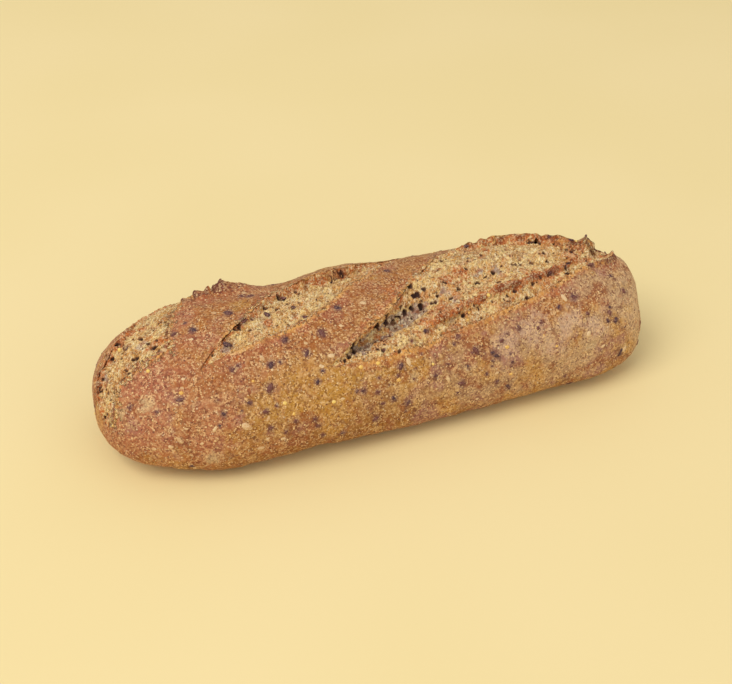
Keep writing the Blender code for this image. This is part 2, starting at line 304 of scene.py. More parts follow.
@dataclass(frozen=True)
class Dough:
    """The uneven body of the loaf before it is slashed, with the solid's own sizes.

    round_end and blunt_end are the powers that shape its ends, and top_section and base_section those of
    its section above and below its widest level: the higher, the squarer. From its middle to the blunt
    end its width changes by the share taper and the height of its top by fall, and crown is the power of
    its girth by which its top is raised. Its underside would reach base_drop times as low as the base,
    which cuts it flat. Its swells are heights and wavelengths of noise. Its bumps and dents are x, y, z,
    radius and height in millimetres.
    """

    length: float = 240 * MM
    width: float = 81.8 * MM
    height: float = 54.7 * MM
    widest_at: float = 17.8 * MM
    round_end: float = 3.24
    blunt_end: float = 5.0
    top_section: float = 2.15
    base_section: float = 2.92
    taper: float = -0.08
    fall: float = -0.03
    crown: float = -0.076
    base_drop: float = 1.12
    swells: Points = ((1.1 * MM, 46 * MM), (0.45 * MM, 13 * MM))
    bumps: Sequence[tuple[float, float, float, float, float]] = (
        (112, 16, 34, 20, -4.5), (117, -6, 44, 10, 2.5), (94, -33, 7, 12, 0.9), (-9, 27, 47, 12, 1.4),
        (-33, 28, 46, 12, -1.6), (-38, -37, 5, 14, -1.5), (-76, 27, 46, 12, 1.3), (-76, -36, 6, 12, 1.2),
        (-100, 23, 42, 16, -0.9), (-116, 14, 34, 14, -1.4), (-120, 2, 14, 14, 1.2),
    )

    def points(self, cube: np.ndarray) -> np.ndarray:
        """The surface's points for points of the cube that runs from -1 to 1.

        Args:
            cube: Points on the cube, one a row.

        Returns:
            Points on the smooth body, one a row.
        """
        end = np.where(cube[:, 0] < 0, self.round_end, self.blunt_end)
        section = np.where(cube[:, 2] > 0, self.top_section, self.base_section)
        across = (np.abs(cube[:, 1]) ** section + np.abs(cube[:, 2]) ** section) ** (1 / section)
        reach = (np.abs(cube[:, 0]) ** end + across**end) ** (1 / end)
        along, side, up = (cube / reach[:, None]).T
        girth = np.maximum(across / reach, SMALL)
        top = (self.height - self.widest_at) * up * girth**self.crown * (1 + self.fall * along)
        height = np.where(up > 0, top, self.widest_at * self.base_drop * up)
        half_width = self.width / 2 * (1 + self.taper * along)
        return np.stack([along * self.length / 2, side * half_width, self.widest_at + height], 1)

    def unevenness(self, points: np.ndarray) -> np.ndarray:
        """How far the dough stands out from the smooth body.

        Args:
            points: Points on the smooth body, one a row.

        Returns:
            One height for each point.
        """
        out = sum(height * noise_at(points, length) for height, length in self.swells)
        for x, y, z, radius, height in self.bumps:
            away = np.linalg.norm(points / MM - (x, y, z), axis=1) / radius
            out += height * MM * np.exp(-away * away)
        return out

    def mesh(self, cells: tuple[int, int, int]) -> bmesh.types.BMesh:
        """The body as a closed mesh with a flat base.

        Args:
            cells: How many cells it has along X, Y and Z.

        Returns:
            A new bmesh.
        """
        mesh = bmesh.new()
        bmesh.ops.create_cube(mesh, size=2)
        for axis, count in enumerate(cells):
            lengthwise = [
                edge for edge in mesh.edges if abs(edge.verts[0].co[axis] - edge.verts[1].co[axis]) > SMALL
            ]
            bmesh.ops.subdivide_edges(mesh, edges=lengthwise, cuts=count - 1, use_grid_fill=True)
        move_to(mesh, self.points(coordinates(mesh)))
        smooth = coordinates(mesh)
        move_to(mesh, smooth + normals(mesh) * self.unevenness(smooth)[:, None])
        everything = mesh.verts[:] + mesh.edges[:] + mesh.faces[:]
        bmesh.ops.bisect_plane(
            mesh, geom=everything, plane_co=(0, 0, 0), plane_no=(0, 0, 1), clear_inner=True
        )
        base = bmesh.ops.holes_fill(mesh, edges=mesh.edges[:])["faces"]
        bmesh.ops.triangulate(mesh, faces=base)
        return mesh


@dataclass
class Places:
    """Where points lie in a slash, one value each. Lengths are in metres, but u is in millimetres."""

    u: np.ndarray
    gap: np.ndarray
    opening: np.ndarray
    from_near: np.ndarray
    to_far: np.ndarray
    inside: np.ndarray
    share: np.ndarray
    lean: np.ndarray


@dataclass(frozen=True)
class Slash:
    """A slash between two lips, seen from above or from a view tilted towards the round end.

    Its lips are points (u, y), u being the distance along the loaf in that view, and its crumb is the
    depth under the crust at even steps from near lip to far, at each given u. near_rise is how high the
    near lip curls, and ear how high the far one stands and how far it leans over, at each given u. All
    are in millimetres. The softness of a lip is 0 where it is a clean edge, 1 where crust fades into
    crumb over near_fade or far_fade, and more where crumb has won before the lip. far_toast is how brown
    the crumb's far wall is, and hollows are its larger pores: the pixel where each is seen, and its
    radius in millimetres.

    Where the slash is full_opening wide, tears are the heights and wavelengths of the noise that tears
    its lips, and waves the shares and wavelengths of that by which they rise and fall. The rows pick
    which noise each of these reads. The rolls are how far the crust beside a near lip, the crust beside
    an ear, and the crumb are drawn up with it.
    """

    name: str
    tilt: float
    near: Points
    far: Points
    crumb: Sequence[tuple[float, Sequence[float]]]
    near_rise: Points
    ear: Sequence[tuple[float, float, float]]
    near_soft: Points
    far_soft: Points
    far_toast: Points
    hollows: Marks
    full_opening: float = 10 * MM
    tears: Points = ((0.6 * MM, 6 * MM), (0.45 * MM, 2.1 * MM), (0.3 * MM, 0.9 * MM))
    near_row: float = 0
    far_row: float = 9
    waves: Points = ((0.5, 9), (0.5, 3.1))
    first_wave_row: int = 4
    slope_step: float = 0.5
    lip_roll: float = 3.5 * MM
    ear_roll: float = 7 * MM
    crumb_roll: float = 6 * MM
    near_fade: float = 4.5 * MM
    far_fade: float = 4.5 * MM

    @property
    def along(self) -> np.ndarray:
        """The direction of u."""
        tilt = math.radians(self.tilt)
        return np.array([math.cos(tilt), 0, math.sin(tilt)])

    @property
    def towards_viewer(self) -> np.ndarray:
        """The direction from which the slash is seen in its view."""
        tilt = math.radians(self.tilt)
        return np.array([-math.sin(tilt), 0, math.cos(tilt)])

    def torn(self, lip: Points, u: np.ndarray, row: float, opening: np.ndarray) -> np.ndarray:
        """The place across the loaf of a torn lip.

        Args:
            lip: The smooth lip's points.
            u: Where along the loaf, in millimetres.
            row: The row of noise that tears it.
            opening: How open the slash is there, 0 to 1.

        Returns:
            The lip's y at each u, in metres.
        """
        tear = sum(height * row_noise(u * MM, length, row) for height, length in self.tears)
        return through(lip, u) * MM + tear * opening

    def slope(self, lip: Points, u: np.ndarray) -> np.ndarray:
        """How fast a lip runs across the loaf at each u."""
        step = self.slope_step
        return (through(lip, u + step) - through(lip, u - step)) / (2 * step)

    def places(self, points: np.ndarray) -> Places:
        """Where points lie in the slash.

        Args:
            points: Points of the body's surface, one a row.

        Returns:
            Their places, with a negative inside for those on the crust.
        """
        u = points @ self.along / MM
        first, last = self.near[0][0], self.near[-1][0]
        gap = (through(self.far, u) - through(self.near, u)) * MM
        within = (u > first) & (u < last)
        opening = np.where(within, np.clip(gap / self.full_opening, 0, 1), 0)
        near = self.torn(self.near, u, self.near_row, opening)
        far = self.torn(self.far, u, self.far_row, opening)
        far_slope = self.slope(self.far, u)
        from_near = (points[:, 1] - near) / np.hypot(1, self.slope(self.near, u))
        to_far = (far - points[:, 1]) / np.hypot(1, far_slope)
        beyond = -np.maximum(first - u, u - last) * MM
        return Places(
            u=u,
            gap=gap,
            opening=opening,
            from_near=from_near,
            to_far=to_far,
            inside=np.where(within, np.minimum(from_near, to_far), beyond),
            share=np.clip((points[:, 1] - near) / np.maximum(gap, SMALL), 0, 1),
            lean=np.outer(far_slope, self.along) - np.array([0, 1, 0]),
        )

    def depth(self, places: Places) -> np.ndarray:
        """How deep the crumb lies under the crust.

        Args:
            places: Where points lie in the slash.

        Returns:
            One depth for each point, in metres.
        """
        columns = range(len(self.crumb[0][1]))
        levels = np.stack(
            [through([(u, depths[column]) for u, depths in self.crumb], places.u) for column in columns]
        )
        slopes = np.gradient(levels, axis=0)
        steps = len(levels) - 1
        scaled = places.share * steps
        piece = np.clip(scaled.astype(int), 0, steps - 1)
        each = np.arange(len(scaled))
        ends = (levels[piece, each], levels[piece + 1, each])
        return curve(ends, (slopes[piece, each], slopes[piece + 1, each]), scaled - piece) * MM

    def lift(self, places: Places, facing: np.ndarray) -> np.ndarray:
        """How far the curl of the near lip and the ear at the far one move points of the surface.

        Args:
            places: Where the points lie in the slash.
            facing: The way the surface faces there, one a row.

        Returns:
            One shift for each point, in metres. It fades on the crust, and faster on the crumb.
        """
        waves = enumerate(self.waves, self.first_wave_row)
        wave = 1 + sum(share * row_noise(places.u, length, row) for row, (share, length) in waves)
        lean = unit(places.lean - facing * np.sum(places.lean * facing, 1)[:, None])
        on_crumb = np.maximum(places.inside, 0) / self.crumb_roll
        near_roll = np.clip(1 - np.maximum(-places.from_near, 0) / self.lip_roll - on_crumb, 0, 1) ** 2
        far_roll = np.clip(1 - np.maximum(-places.to_far, 0) / self.ear_roll - on_crumb, 0, 1) ** 2
        curl = through(self.near_rise, places.u) * near_roll
        stand = through([(u, up) for u, up, _ in self.ear], places.u) * far_roll
        over = through([(u, over) for u, _, over in self.ear], places.u) * far_roll
        near_side = (places.from_near < places.to_far)[:, None]
        ear = facing * stand[:, None] + lean * over[:, None]
        scale = MM * places.opening * wave
        return np.where(near_side, facing * curl[:, None], ear) * scale[:, None]

    def softness(self, places: Places) -> np.ndarray:
        """How soft the nearer lip is at each place."""
        near, far = through(self.near_soft, places.u), through(self.far_soft, places.u)
        return np.where(places.from_near < places.to_far, near, far)

    def fading(self, places: Places) -> np.ndarray:
        """How far the crust has faded into crumb at each place beyond a lip."""
        fade = np.where(places.from_near < places.to_far, self.near_fade, self.far_fade)
        return np.clip(1 + places.inside / fade, 0, 1) * self.softness(places)


END_SLASH = Slash(
    name="end",
    tilt=45,
    near=(
        (-68, -17), (-62, -19.3), (-56, -17.4), (-51, -13.5), (-37, -11), (-28, -7.5), (-25, 3),
        (-21, 15), (-16, 25), (-9, 33),
    ),
    far=(
        (-68, -17), (-63, -6), (-59, -0.5), (-52, 2.5), (-47, 6.5), (-43, 12), (-39, 21), (-34, 27),
        (-25, 33), (-15, 35), (-9, 33),
    ),
    crumb=(
        (-68, (0.3, 0.8, 1.4, 1.6, 1.0)),
        (-38, (0.2, 0.9, 1.4, 1.5, 1.0)),
        (-10, (0.3, 0.9, 1.0, 0.9, 0.6)),
    ),
    near_rise=((-68, 0.1), (-25, 0.2), (-20, 0.8)),
    ear=((-68, 0.0, 0.2), (-38, 0.3, 0.4), (-10, 0.2, 0.0)),
    near_soft=((-68, 0.9), (-28, 1.0), (-20, 0.5)),
    far_soft=((-68, 1.7), (-40, 1.9), (-26, 1.6)),
    far_toast=((-68, 0.8), (-38, 0.7)),
    hollows=(
        (103, 379, 0.8), (142, 338, 1.1), (139, 339, 0.7), (154, 329, 0.9), (160, 323, 0.9),
        (148, 343, 0.7), (155, 347, 1.2), (137, 357, 0.8), (139, 362, 0.8), (133, 359, 0.9),
        (113, 359, 0.9), (104, 363, 0.9), (105, 366, 0.7), (109, 372, 0.8), (106, 388, 1),
        (100, 388, 0.7), (99, 391, 0.8), (95, 394, 0.8), (116, 344, 0.9), (119, 343, 0.6),
        (123, 346, 0.6), (157, 340, 0.7), (174, 311, 0.8),
    ),
    far_fade=6.5 * MM,
)
MIDDLE_SLASH = Slash(
    name="middle",
    tilt=0,
    near=((-80, -23), (-60, -19.5), (-40, -16.5), (-26, -10.5), (-12, 0), (2, 9), (22, 23)),
    far=((-80, -23), (-69, -14.5), (-55, -4), (-42, 7), (-28, 13), (-10, 16), (22, 23)),
    crumb=(
        (-80, (0.5, 1.2, 1.6, 1.8, 1.6)),
        (-50, (0.4, 1.2, 1.6, 2.0, 2.2)),
        (-20, (0.5, 1.0, 1.4, 3.0, 3.4)),
        (15, (0.6, 1.2, 1.6, 2.0, 2.0)),
    ),
    near_rise=((-80, 0.3), (-20, 0.5), (20, 0.3)),
    ear=(
        (-80, 0.1, 0.0), (-50, 0.1, 0.0), (-36, 0.2, 0.2), (-26, 2.0, 2.0), (-8, 2.2, 1.8), (4, 1.0, 0.8),
        (20, 0.3, 0.2),
    ),
    near_soft=((-80, 0.1), (-40, 0.35), (20, 0.5)),
    far_soft=((-80, 0.2), (-66, 0.3), (-58, 0.9), (-34, 0.9), (-26, 0.2), (20, 0.4)),
    far_toast=((-80, 0.8), (-20, 0.7)),
    hollows=(
        (284, 299, 1.2), (278, 296, 0.8), (266, 308, 1.2), (277, 309, 1.1), (294, 308, 0.9),
        (260, 329, 0.6), (299, 302, 0.6), (313, 273, 0.9), (325, 269, 0.8), (331, 280, 1),
        (335, 278, 1), (339, 277, 1), (343, 275, 0.9), (239, 325, 0.9), (244, 321, 0.9),
        (236, 329, 0.8),
    ),
)
BURST_SLASH = Slash(
    name="burst",
    tilt=0,
    near=(
        (-30, -33), (-5, -32.4), (22, -29.5), (48, -25.7), (70, -20.6), (90, -12.5), (108, -7), (115, 5),
    ),
    far=(
        (-30, -33), (-15, -24.5), (4, -13), (20, 0), (36, 13), (58, 20), (80, 13), (98, 3), (106, 12),
        (115, 5),
    ),
    crumb=(
        (-30, (0.8, 1.5, 2.5, 3.5, 4.5, 5.0, 5.0, 4.0, 1.5)),
        (-8, (0.8, 1.4, 2.0, 3.5, 6.0, 7.5, 8.0, 6.5, 2.5)),
        (4, (0.8, 1.2, 1.4, 3.0, 7.0, 7.5, 6.0, 3.0, 1.2)),
        (15, (0.8, 1.0, 0.8, 3.0, 6.0, 4.5, 2.2, 1.4, 0.8)),
        (25, (0.8, 1.2, 0.2, 3.0, 3.4, 1.8, 0.9, 0.6, 0.4)),
        (38, (1.0, 1.1, 0.4, 2.8, 1.8, 0.3, 0.1, 0.3, 0.3)),
        (58, (1.0, 1.0, 0.4, 2.6, 1.6, 0.2, 0.0, 0.5, 2.6)),
        (85, (1.0, 1.0, 0.6, 2.4, 1.4, 0.4, 0.4, 1.0, 1.8)),
        (108, (0.6, 1.6, 2.6, 2.8, 2.6, 2.2, 1.8, 1.6, 1.6)),
    ),
    near_rise=((-30, 0.4), (40, 0.7), (90, 1.2), (106, 2.2), (114, 1.4)),
    ear=(
        (-30, 0.8, 0.8), (0, 1.0, 1.3), (14, 0.4, 0.5), (28, 0.0, 0.0), (46, 0.8, 0.0), (54, 2.2, 0.4),
        (64, 3.2, 0.8), (84, 4.0, 0.8), (94, 4.6, 0.8), (101, 4.2, 0.5), (109.2, 2.8, 0.3), (110, 0.2, 0.0),
    ),
    near_soft=((-30, 0.2), (40, 0.3), (110, 0.2)),
    far_soft=((-30, 0.3), (6, 0.6), (16, 1.0), (26, 1.1), (50, 1.0), (60, 0.6), (100, 0.4)),
    far_toast=((-30, 0.3), (10, 0.4), (42, 0.5), (52, 1.2), (62, 0.9), (74, 0.5), (100, 0.5)),
    hollows=(
        (504, 246, 1), (504, 251, 0.8), (485, 251, 1), (481, 255, 0.8), (494, 272, 0.9),
        (498, 281, 1.1), (485, 277, 0.7), (510, 281, 0.7), (478, 283, 1), (515, 291, 0.8),
        (539, 278, 0.7), (550, 275, 0.8), (547, 276, 0.7), (564, 268, 0.9), (566, 265, 0.9),
        (568, 273, 1.1), (555, 244, 1.1), (528, 242, 0.9), (532, 242, 0.9), (536, 242, 0.9),
        (540, 243, 0.8), (544, 253, 0.8), (547, 261, 0.8), (551, 267, 0.6), (592, 266, 0.7),
        (504, 299, 0.7), (527, 297, 0.8), (457, 291, 0.7), (415, 295, 1.4), (417, 294, 1.1),
        (386, 300, 1.2), (389, 297, 1.1), (392, 295, 0.9), (384, 303, 0.9), (410, 285, 1),
        (442, 261, 0.9), (445, 282, 0.9), (451, 298, 1.1), (459, 288, 0.8), (475, 286, 0.9),
        (405, 312, 1), (398, 318, 1.2), (394, 322, 1.1), (387, 321, 1.2), (377, 329, 1.3),
        (370, 336, 1.5), (362, 343, 1.2), (353, 349, 1.3), (349, 356, 1), (345, 360, 0.8),
        (384, 311, 1), (421, 306, 1.2), (412, 308, 1), (432, 303, 0.9), (436, 301, 0.8),
        (478, 308, 0.8), (459, 312, 0.6), (463, 315, 1), (456, 309, 0.7), (390, 336, 0.8),
        (381, 340, 0.9), (375, 341, 0.8), (383, 350, 0.7), (572, 252, 0.9), (567, 250, 0.9),
        (576, 254, 0.8), (424, 288, 0.8),
    ),
)
SLASHES = (END_SLASH, MIDDLE_SLASH, BURST_SLASH)


@dataclass(frozen=True)
class Crag:
    """Torn crust that stands up: steep on its left, sloping away on its right. All in millimetres.

    It rises from the surface at x and y, over steep on the left, long on the right and deep on either
    side of it, and leans to the left by a share of its height. Its sides fall away as powers: steep_fall
    on the left, and fall on the right. flank is how much of its depth slopes, and ragged are the shares
    and wavelengths of the noise that roughens it.
    """

    x: float
    y: float
    steep: float
    long: float
    deep: float
    height: float
    lean: float
    fall: float
    ragged: Points = ((0.3, 2.6), (0.2, 1.3))
    steep_fall: float = 0.5
    flank: float = 0.7

    def rises(self, points: np.ndarray) -> np.ndarray:
        """How high it stands.

        Args:
            points: Points of the surface, one a row.

        Returns:
            Its height over each point, in metres.
        """
        ahead, side = points[:, 0] / MM - self.x, points[:, 1] / MM - self.y
        along = 1 + ahead / np.where(ahead < 0, self.steep, -self.long)
        across = 1 - np.abs(side) / self.deep
        torn = 1 + sum(share * noise_at(points / MM, length, self.x) for share, length in self.ragged)
        profile = np.clip(along, 0, 1) ** np.where(ahead < 0, self.steep_fall, self.fall)
        return self.height * MM * profile * rise(across, 0, self.flank) * torn

    def shift(self, points: np.ndarray, facing: np.ndarray) -> np.ndarray:
        """How far it moves points of the surface, which face the ways given."""
        return self.rises(points)[:, None] * (facing - (self.lean, 0, 0))


CRAGS = (
    Crag(-59.2, 23.5, 5.0, 18.0, 8.0, 4.9, 0.1, 1.3),
    Crag(-70.2, 19.5, 2.0, 5.5, 5.0, 3.2, 0.4, 0.3),
    Crag(-76.4, 17.0, 1.8, 3.5, 3.4, 1.9, 0.2, 0.4),
    Crag(-65.4, 22.0, 1.2, 2.0, 2.6, 2.2, -0.3, 0.8),
)


class Graph:
    """Short ways to add the nodes of one material. Lengths are in millimetres on Object coordinates."""

    def __init__(self, name: str) -> None:
        """Starts a material with its shader and a measure in millimetres.

        Args:
            name: The material's name.
        """
        self.material = bpy.data.materials.new(name)
        self.material.use_nodes = True
        self.tree = self.material.node_tree
        self.shader = self.tree.nodes["Principled BSDF"]
        self.values: dict[Source, Socket] = {}
        coordinate = self.tree.nodes.new("ShaderNodeTexCoord")
        self.millimetres = self.scaled(coordinate.outputs["Object"], (1 / MM, 1 / MM, 1 / MM))

    def add(self, kind: str, **inputs: object) -> bpy.types.Node:
        """Adds a node.

        Args:
            kind: Its type's name.
            **inputs: Its sockets by name, with a space as an underscore: a value, or a socket to link.

        Returns:
            The node.
        """
        node = self.tree.nodes.new(kind)
        for key, value in inputs.items():
            self.feed(node.inputs[key.replace("_", " ")], value)
        return node

    def feed(self, socket: Socket, value: object) -> None:
        """Links a socket to another, or sets its value.

        Args:
            socket: The socket that is fed.
            value: The other socket, or the value.
        """
        if isinstance(value, Socket):
            self.tree.links.new(value, socket)
        else:
            socket.default_value = value

    def scaled(self, vector: Socket, scale: tuple[float, float, float], turn: float = 0) -> Socket:
        """Coordinates multiplied along each axis, after a turn about Z in degrees."""
        turned = self.add("ShaderNodeVectorRotate", Vector=vector, Angle=math.radians(turn))
        return self.add("ShaderNodeMapping", Vector=turned.outputs["Vector"], Scale=scale).outputs["Vector"]

    def attribute(self, name: str) -> Socket:
        """A value kept on the mesh's corners."""
        node = self.tree.nodes.new("ShaderNodeAttribute")
        node.attribute_name = name
        return node.outputs["Fac"]

    def noise(self, length: float, detail: float = 2, roughness: float = 0.5, **more: object) -> Socket:
        """Soft noise of a wavelength, between 0 and 1 about 0.5."""
        inputs = {"Vector": self.millimetres, "Scale": 1 / length, "Detail": detail, "Roughness": roughness}
        return self.add("ShaderNodeTexNoise", **{**inputs, **more}).outputs["Fac"]

    def wander(self, length: float, detail: float, roughness: float, spread: float) -> Socket:
        """Soft noise of a wavelength, between -spread and spread."""
        return self.ramp(self.noise(length, detail, roughness), *MIDST, -spread, spread)

    def math(self, operation: str, first: object, second: object = 0.0) -> Socket:
        """One sum on two values.

        Args:
            operation: What is done, by Blender's name.
            first: The first value, or its socket.
            second: The second one.

        Returns:
            The outcome.
        """
        node = self.tree.nodes.new("ShaderNodeMath")
        node.operation = operation
        self.feed(node.inputs[0], first)
        self.feed(node.inputs[1], second)
        return node.outputs[0]

    def times(self, first: object, second: object) -> Socket:
        """The product of two values."""
        return self.math("MULTIPLY", first, second)

    def plus(self, first: object, second: object) -> Socket:
        """The sum of two values."""
        return self.math("ADD", first, second)

    def ramp(self, value: object, low: float, high: float, start: float = 0, end: float = 1) -> Socket:
        """Eases a value.

        Args:
            value: The value, or its socket.
            low: Where the ramp starts. It may lie above high.
            high: Where it ends.
            start: The outcome at low and on its other side.
            end: The outcome at high and beyond it.

        Returns:
            The outcome.
        """
        if low > high:
            low, high, start, end = high, low, end, start
        node = self.add(
            "ShaderNodeMapRange", Value=value, From_Min=low, From_Max=high, To_Min=start, To_Max=end
        )
        node.interpolation_type = "SMOOTHSTEP"
        return node.outputs["Result"]

    def blend(self, share: object, under: object, over: object) -> Socket:
        """Lays one colour over another.

        Args:
            share: How much of it shows, or the socket of that.
            under: The colour below, or its socket.
            over: The colour on top, or its socket.

        Returns:
            The colour that is seen.
        """
        node = self.tree.nodes.new("ShaderNodeMix")
        node.data_type = "RGBA"
        for index, value in ((0, share), (6, under), (7, over)):
            self.feed(node.inputs[index], value)
        return node.outputs[2]

    def value(self, source: Source) -> Socket:
        """The value of a source, whose nodes are added only once."""
        if source not in self.values:
            self.values[source] = source.add_to(self)
        return self.values[source]

    def layered(self, under: object, layers: Sequence[Layer]) -> Socket:
        """Lays tones over a colour.

        Args:
            under: The colour below, or its socket.
            layers: The tones, the lowest first.

        Returns:
            The colour that is seen.
        """
        for layer in layers:
            share = self.ramp(self.value(layer.source), layer.low, layer.high, 0, layer.share)
            if layer.broken:
                share = self.times(share, self.let_through(layer.broken))
            under = self.blend(share, under, layer.tone)
        return under

    def let_through(self, mottle: Mottle) -> Socket:
        """How much a mottle lets through."""
        return self.ramp(self.value(mottle.source), mottle.low, mottle.high, mottle.least, mottle.most)

    def heights(self, relief: Sequence[tuple[Source, float]]) -> Socket:
        """Adds up sources, each times its height in millimetres."""
        total: object = 0.0
        for source, height in relief:
            total = self.plus(total, self.times(self.value(source), height))
        return total

    def gritty(self, under: Socket, grit: Grit) -> Socket:
        """Lays grit over a colour.

        Args:
            under: The colour's socket.
            grit: The grit's sizes and tones.

        Returns:
            The colour that is seen.
        """
        for length, share in grit.sizes:
            cells = self.add("ShaderNodeTexVoronoi", Vector=self.millimetres, Scale=1 / length)
            own = self.add("ShaderNodeSeparateColor", Color=cells.outputs["Color"]).outputs["Blue"]
            least, most = (share * part for part in grit.patchy)
            patch = self.ramp(self.noise(length * grit.patch), *MIDST, least, most)
            under = self.blend(self.times(self.ramp(own, *grit.dark_cells), patch), under, grit.dark)
            under = self.blend(self.times(self.ramp(own, *grit.pale_cells), patch), under, grit.pale)
        return under

    def dots(self, dots: Dots) -> tuple[Socket, Socket]:
        """Adds round dots.

        Args:
            dots: Their sizes.

        Returns:
            1 in a dot and 0 outside, and a value of each cell's own.
        """
        cells = self.add("ShaderNodeTexVoronoi", Vector=self.millimetres, Scale=1 / dots.length)
        colour = self.add("ShaderNodeSeparateColor", Color=cells.outputs["Color"])
        present = self.math("LESS_THAN", colour.outputs["Red"], dots.kept)
        disc = self.ramp(cells.outputs["Distance"], dots.radius, dots.radius * dots.core)
        return self.times(disc, present), colour.outputs["Green"]

    def bump(self, height: Socket) -> None:
        """Gives the shader fine relief of a height in millimetres."""
        node = self.add("ShaderNodeBump", Height=height, Distance=MM, Strength=1.0)
        self.tree.links.new(node.outputs["Normal"], self.shader.inputs["Normal"])

    def set(self, **values: object) -> None:
        """Sets or links the shader's own sockets, by name with a space as an underscore."""
        for key, value in values.items():
            self.feed(self.shader.inputs[key.replace("_", " ")], value)


@dataclass(frozen=True)
class Noise:
    """Soft noise of a wavelength. Its finer octaves stand out more, the higher its roughness."""

    length: float
    detail: float = 3
    roughness: float = 0.5

    def add_to(self, g: Graph) -> Socket:
        """Adds its nodes."""
        return g.noise(self.length, self.detail, self.roughness)


@dataclass(frozen=True)
class Strands:
    """Soft noise with a wavelength for each axis, turned about Z by so many degrees and bent."""

    size: tuple[float, float, float]
    turn: float
    bend: float
    detail: float = 3
    roughness: float = 0.6

    def add_to(self, g: Graph) -> Socket:
        """Adds its nodes."""
        stretched = g.scaled(g.millimetres, tuple(1 / length for length in self.size), self.turn)
        return g.noise(1, self.detail, self.roughness, Vector=stretched, Distortion=self.bend)


@dataclass(frozen=True)
class Along:
    """The place along an axis, moved to and fro by up to wander with broad noise."""

    axis: str
    wander: float
    length: float = 38

    def add_to(self, g: Graph) -> Socket:
        """Adds its nodes."""
        place = g.add("ShaderNodeSeparateXYZ", Vector=g.millimetres).outputs[self.axis]
        return g.plus(place, g.wander(self.length, 2, 0.5, self.wander))


@dataclass(frozen=True)
class Kept:
    """An attribute of the mesh, as it is kept there."""

    attribute: str

    def add_to(self, g: Graph) -> Socket:
        """Adds its node."""
        return g.attribute(self.attribute)


@dataclass(frozen=True)
class Frayed:
    """An attribute of the mesh, and a share of a second one, moved up and down by noise of a wavelength."""

    attribute: str
    spread: float
    length: float
    detail: float = 4
    roughness: float = 0.7
    second: str = ""
    second_share: float = 0

    def add_to(self, g: Graph) -> Socket:
        """Adds its nodes."""
        value = g.attribute(self.attribute)
        if self.second:
            value = g.plus(value, g.times(g.attribute(self.second), self.second_share))
        return g.plus(value, g.wander(self.length, self.detail, self.roughness, self.spread))


@dataclass(frozen=True)
class Dusted:
    """An attribute of the mesh, raised by so much noise of a wavelength."""

    attribute: str
    noise: float
    length: float
    detail: float
    roughness: float

    def add_to(self, g: Graph) -> Socket:
        """Adds its nodes."""
        dust = g.times(g.noise(self.length, self.detail, self.roughness), self.noise)
        return g.plus(g.attribute(self.attribute), dust)


Source = Noise | Strands | Along | Kept | Frayed | Dusted


@dataclass(frozen=True)
class Mottle:
    """What a source between low and high lets through: a share, from least to most."""

    source: Source
    low: float
    high: float
    most: float
    least: float = 0


@dataclass(frozen=True)
class Layer:
    """A tone that comes in between two values of a source, up to a share, and may be broken by a mottle."""

    tone: Colour
    source: Source
    low: float
    high: float
    share: float = 1
    broken: Mottle | None = None


@dataclass(frozen=True)
class Grit:
    """Fine grit in cells: a length for each of its sizes, and how much of it shows.

    Each cell draws a value from 0 to 1: the lowest are dark and the highest pale. How much shows goes up
    and down with noise, over patches some grains wide.
    """

    dark: Colour
    pale: Colour
    sizes: Points
    dark_cells: tuple[float, float] = (0.4, 0.1)
    pale_cells: tuple[float, float] = (0.6, 0.95)
    patch: float = 5
    patchy: tuple[float, float] = (0.4, 1.6)


@dataclass(frozen=True)
class Dots:
    """Round dots, one in some of the cells of a pattern.

    length is the size of a cell, radius a dot's radius as a share of it, and kept the share of cells
    that hold one. strength is how strongly it is coloured, and stand how high it stands, in millimetres.
    Its full tone reaches out to core of its radius.
    """

    length: float
    radius: float
    kept: float
    strength: float
    stand: float = 0
    core: float = 0.4


def patched(name: str) -> Frayed:
    """Where a patch of the crust lies, with a soft ragged edge."""
    return Frayed(name, 0.35, 4.5, roughness=0.6)


ALONG = Along("X", 28)
UPWARD = Along("Z", 7)
LIP = Frayed("lip", 0.3, 2.2)


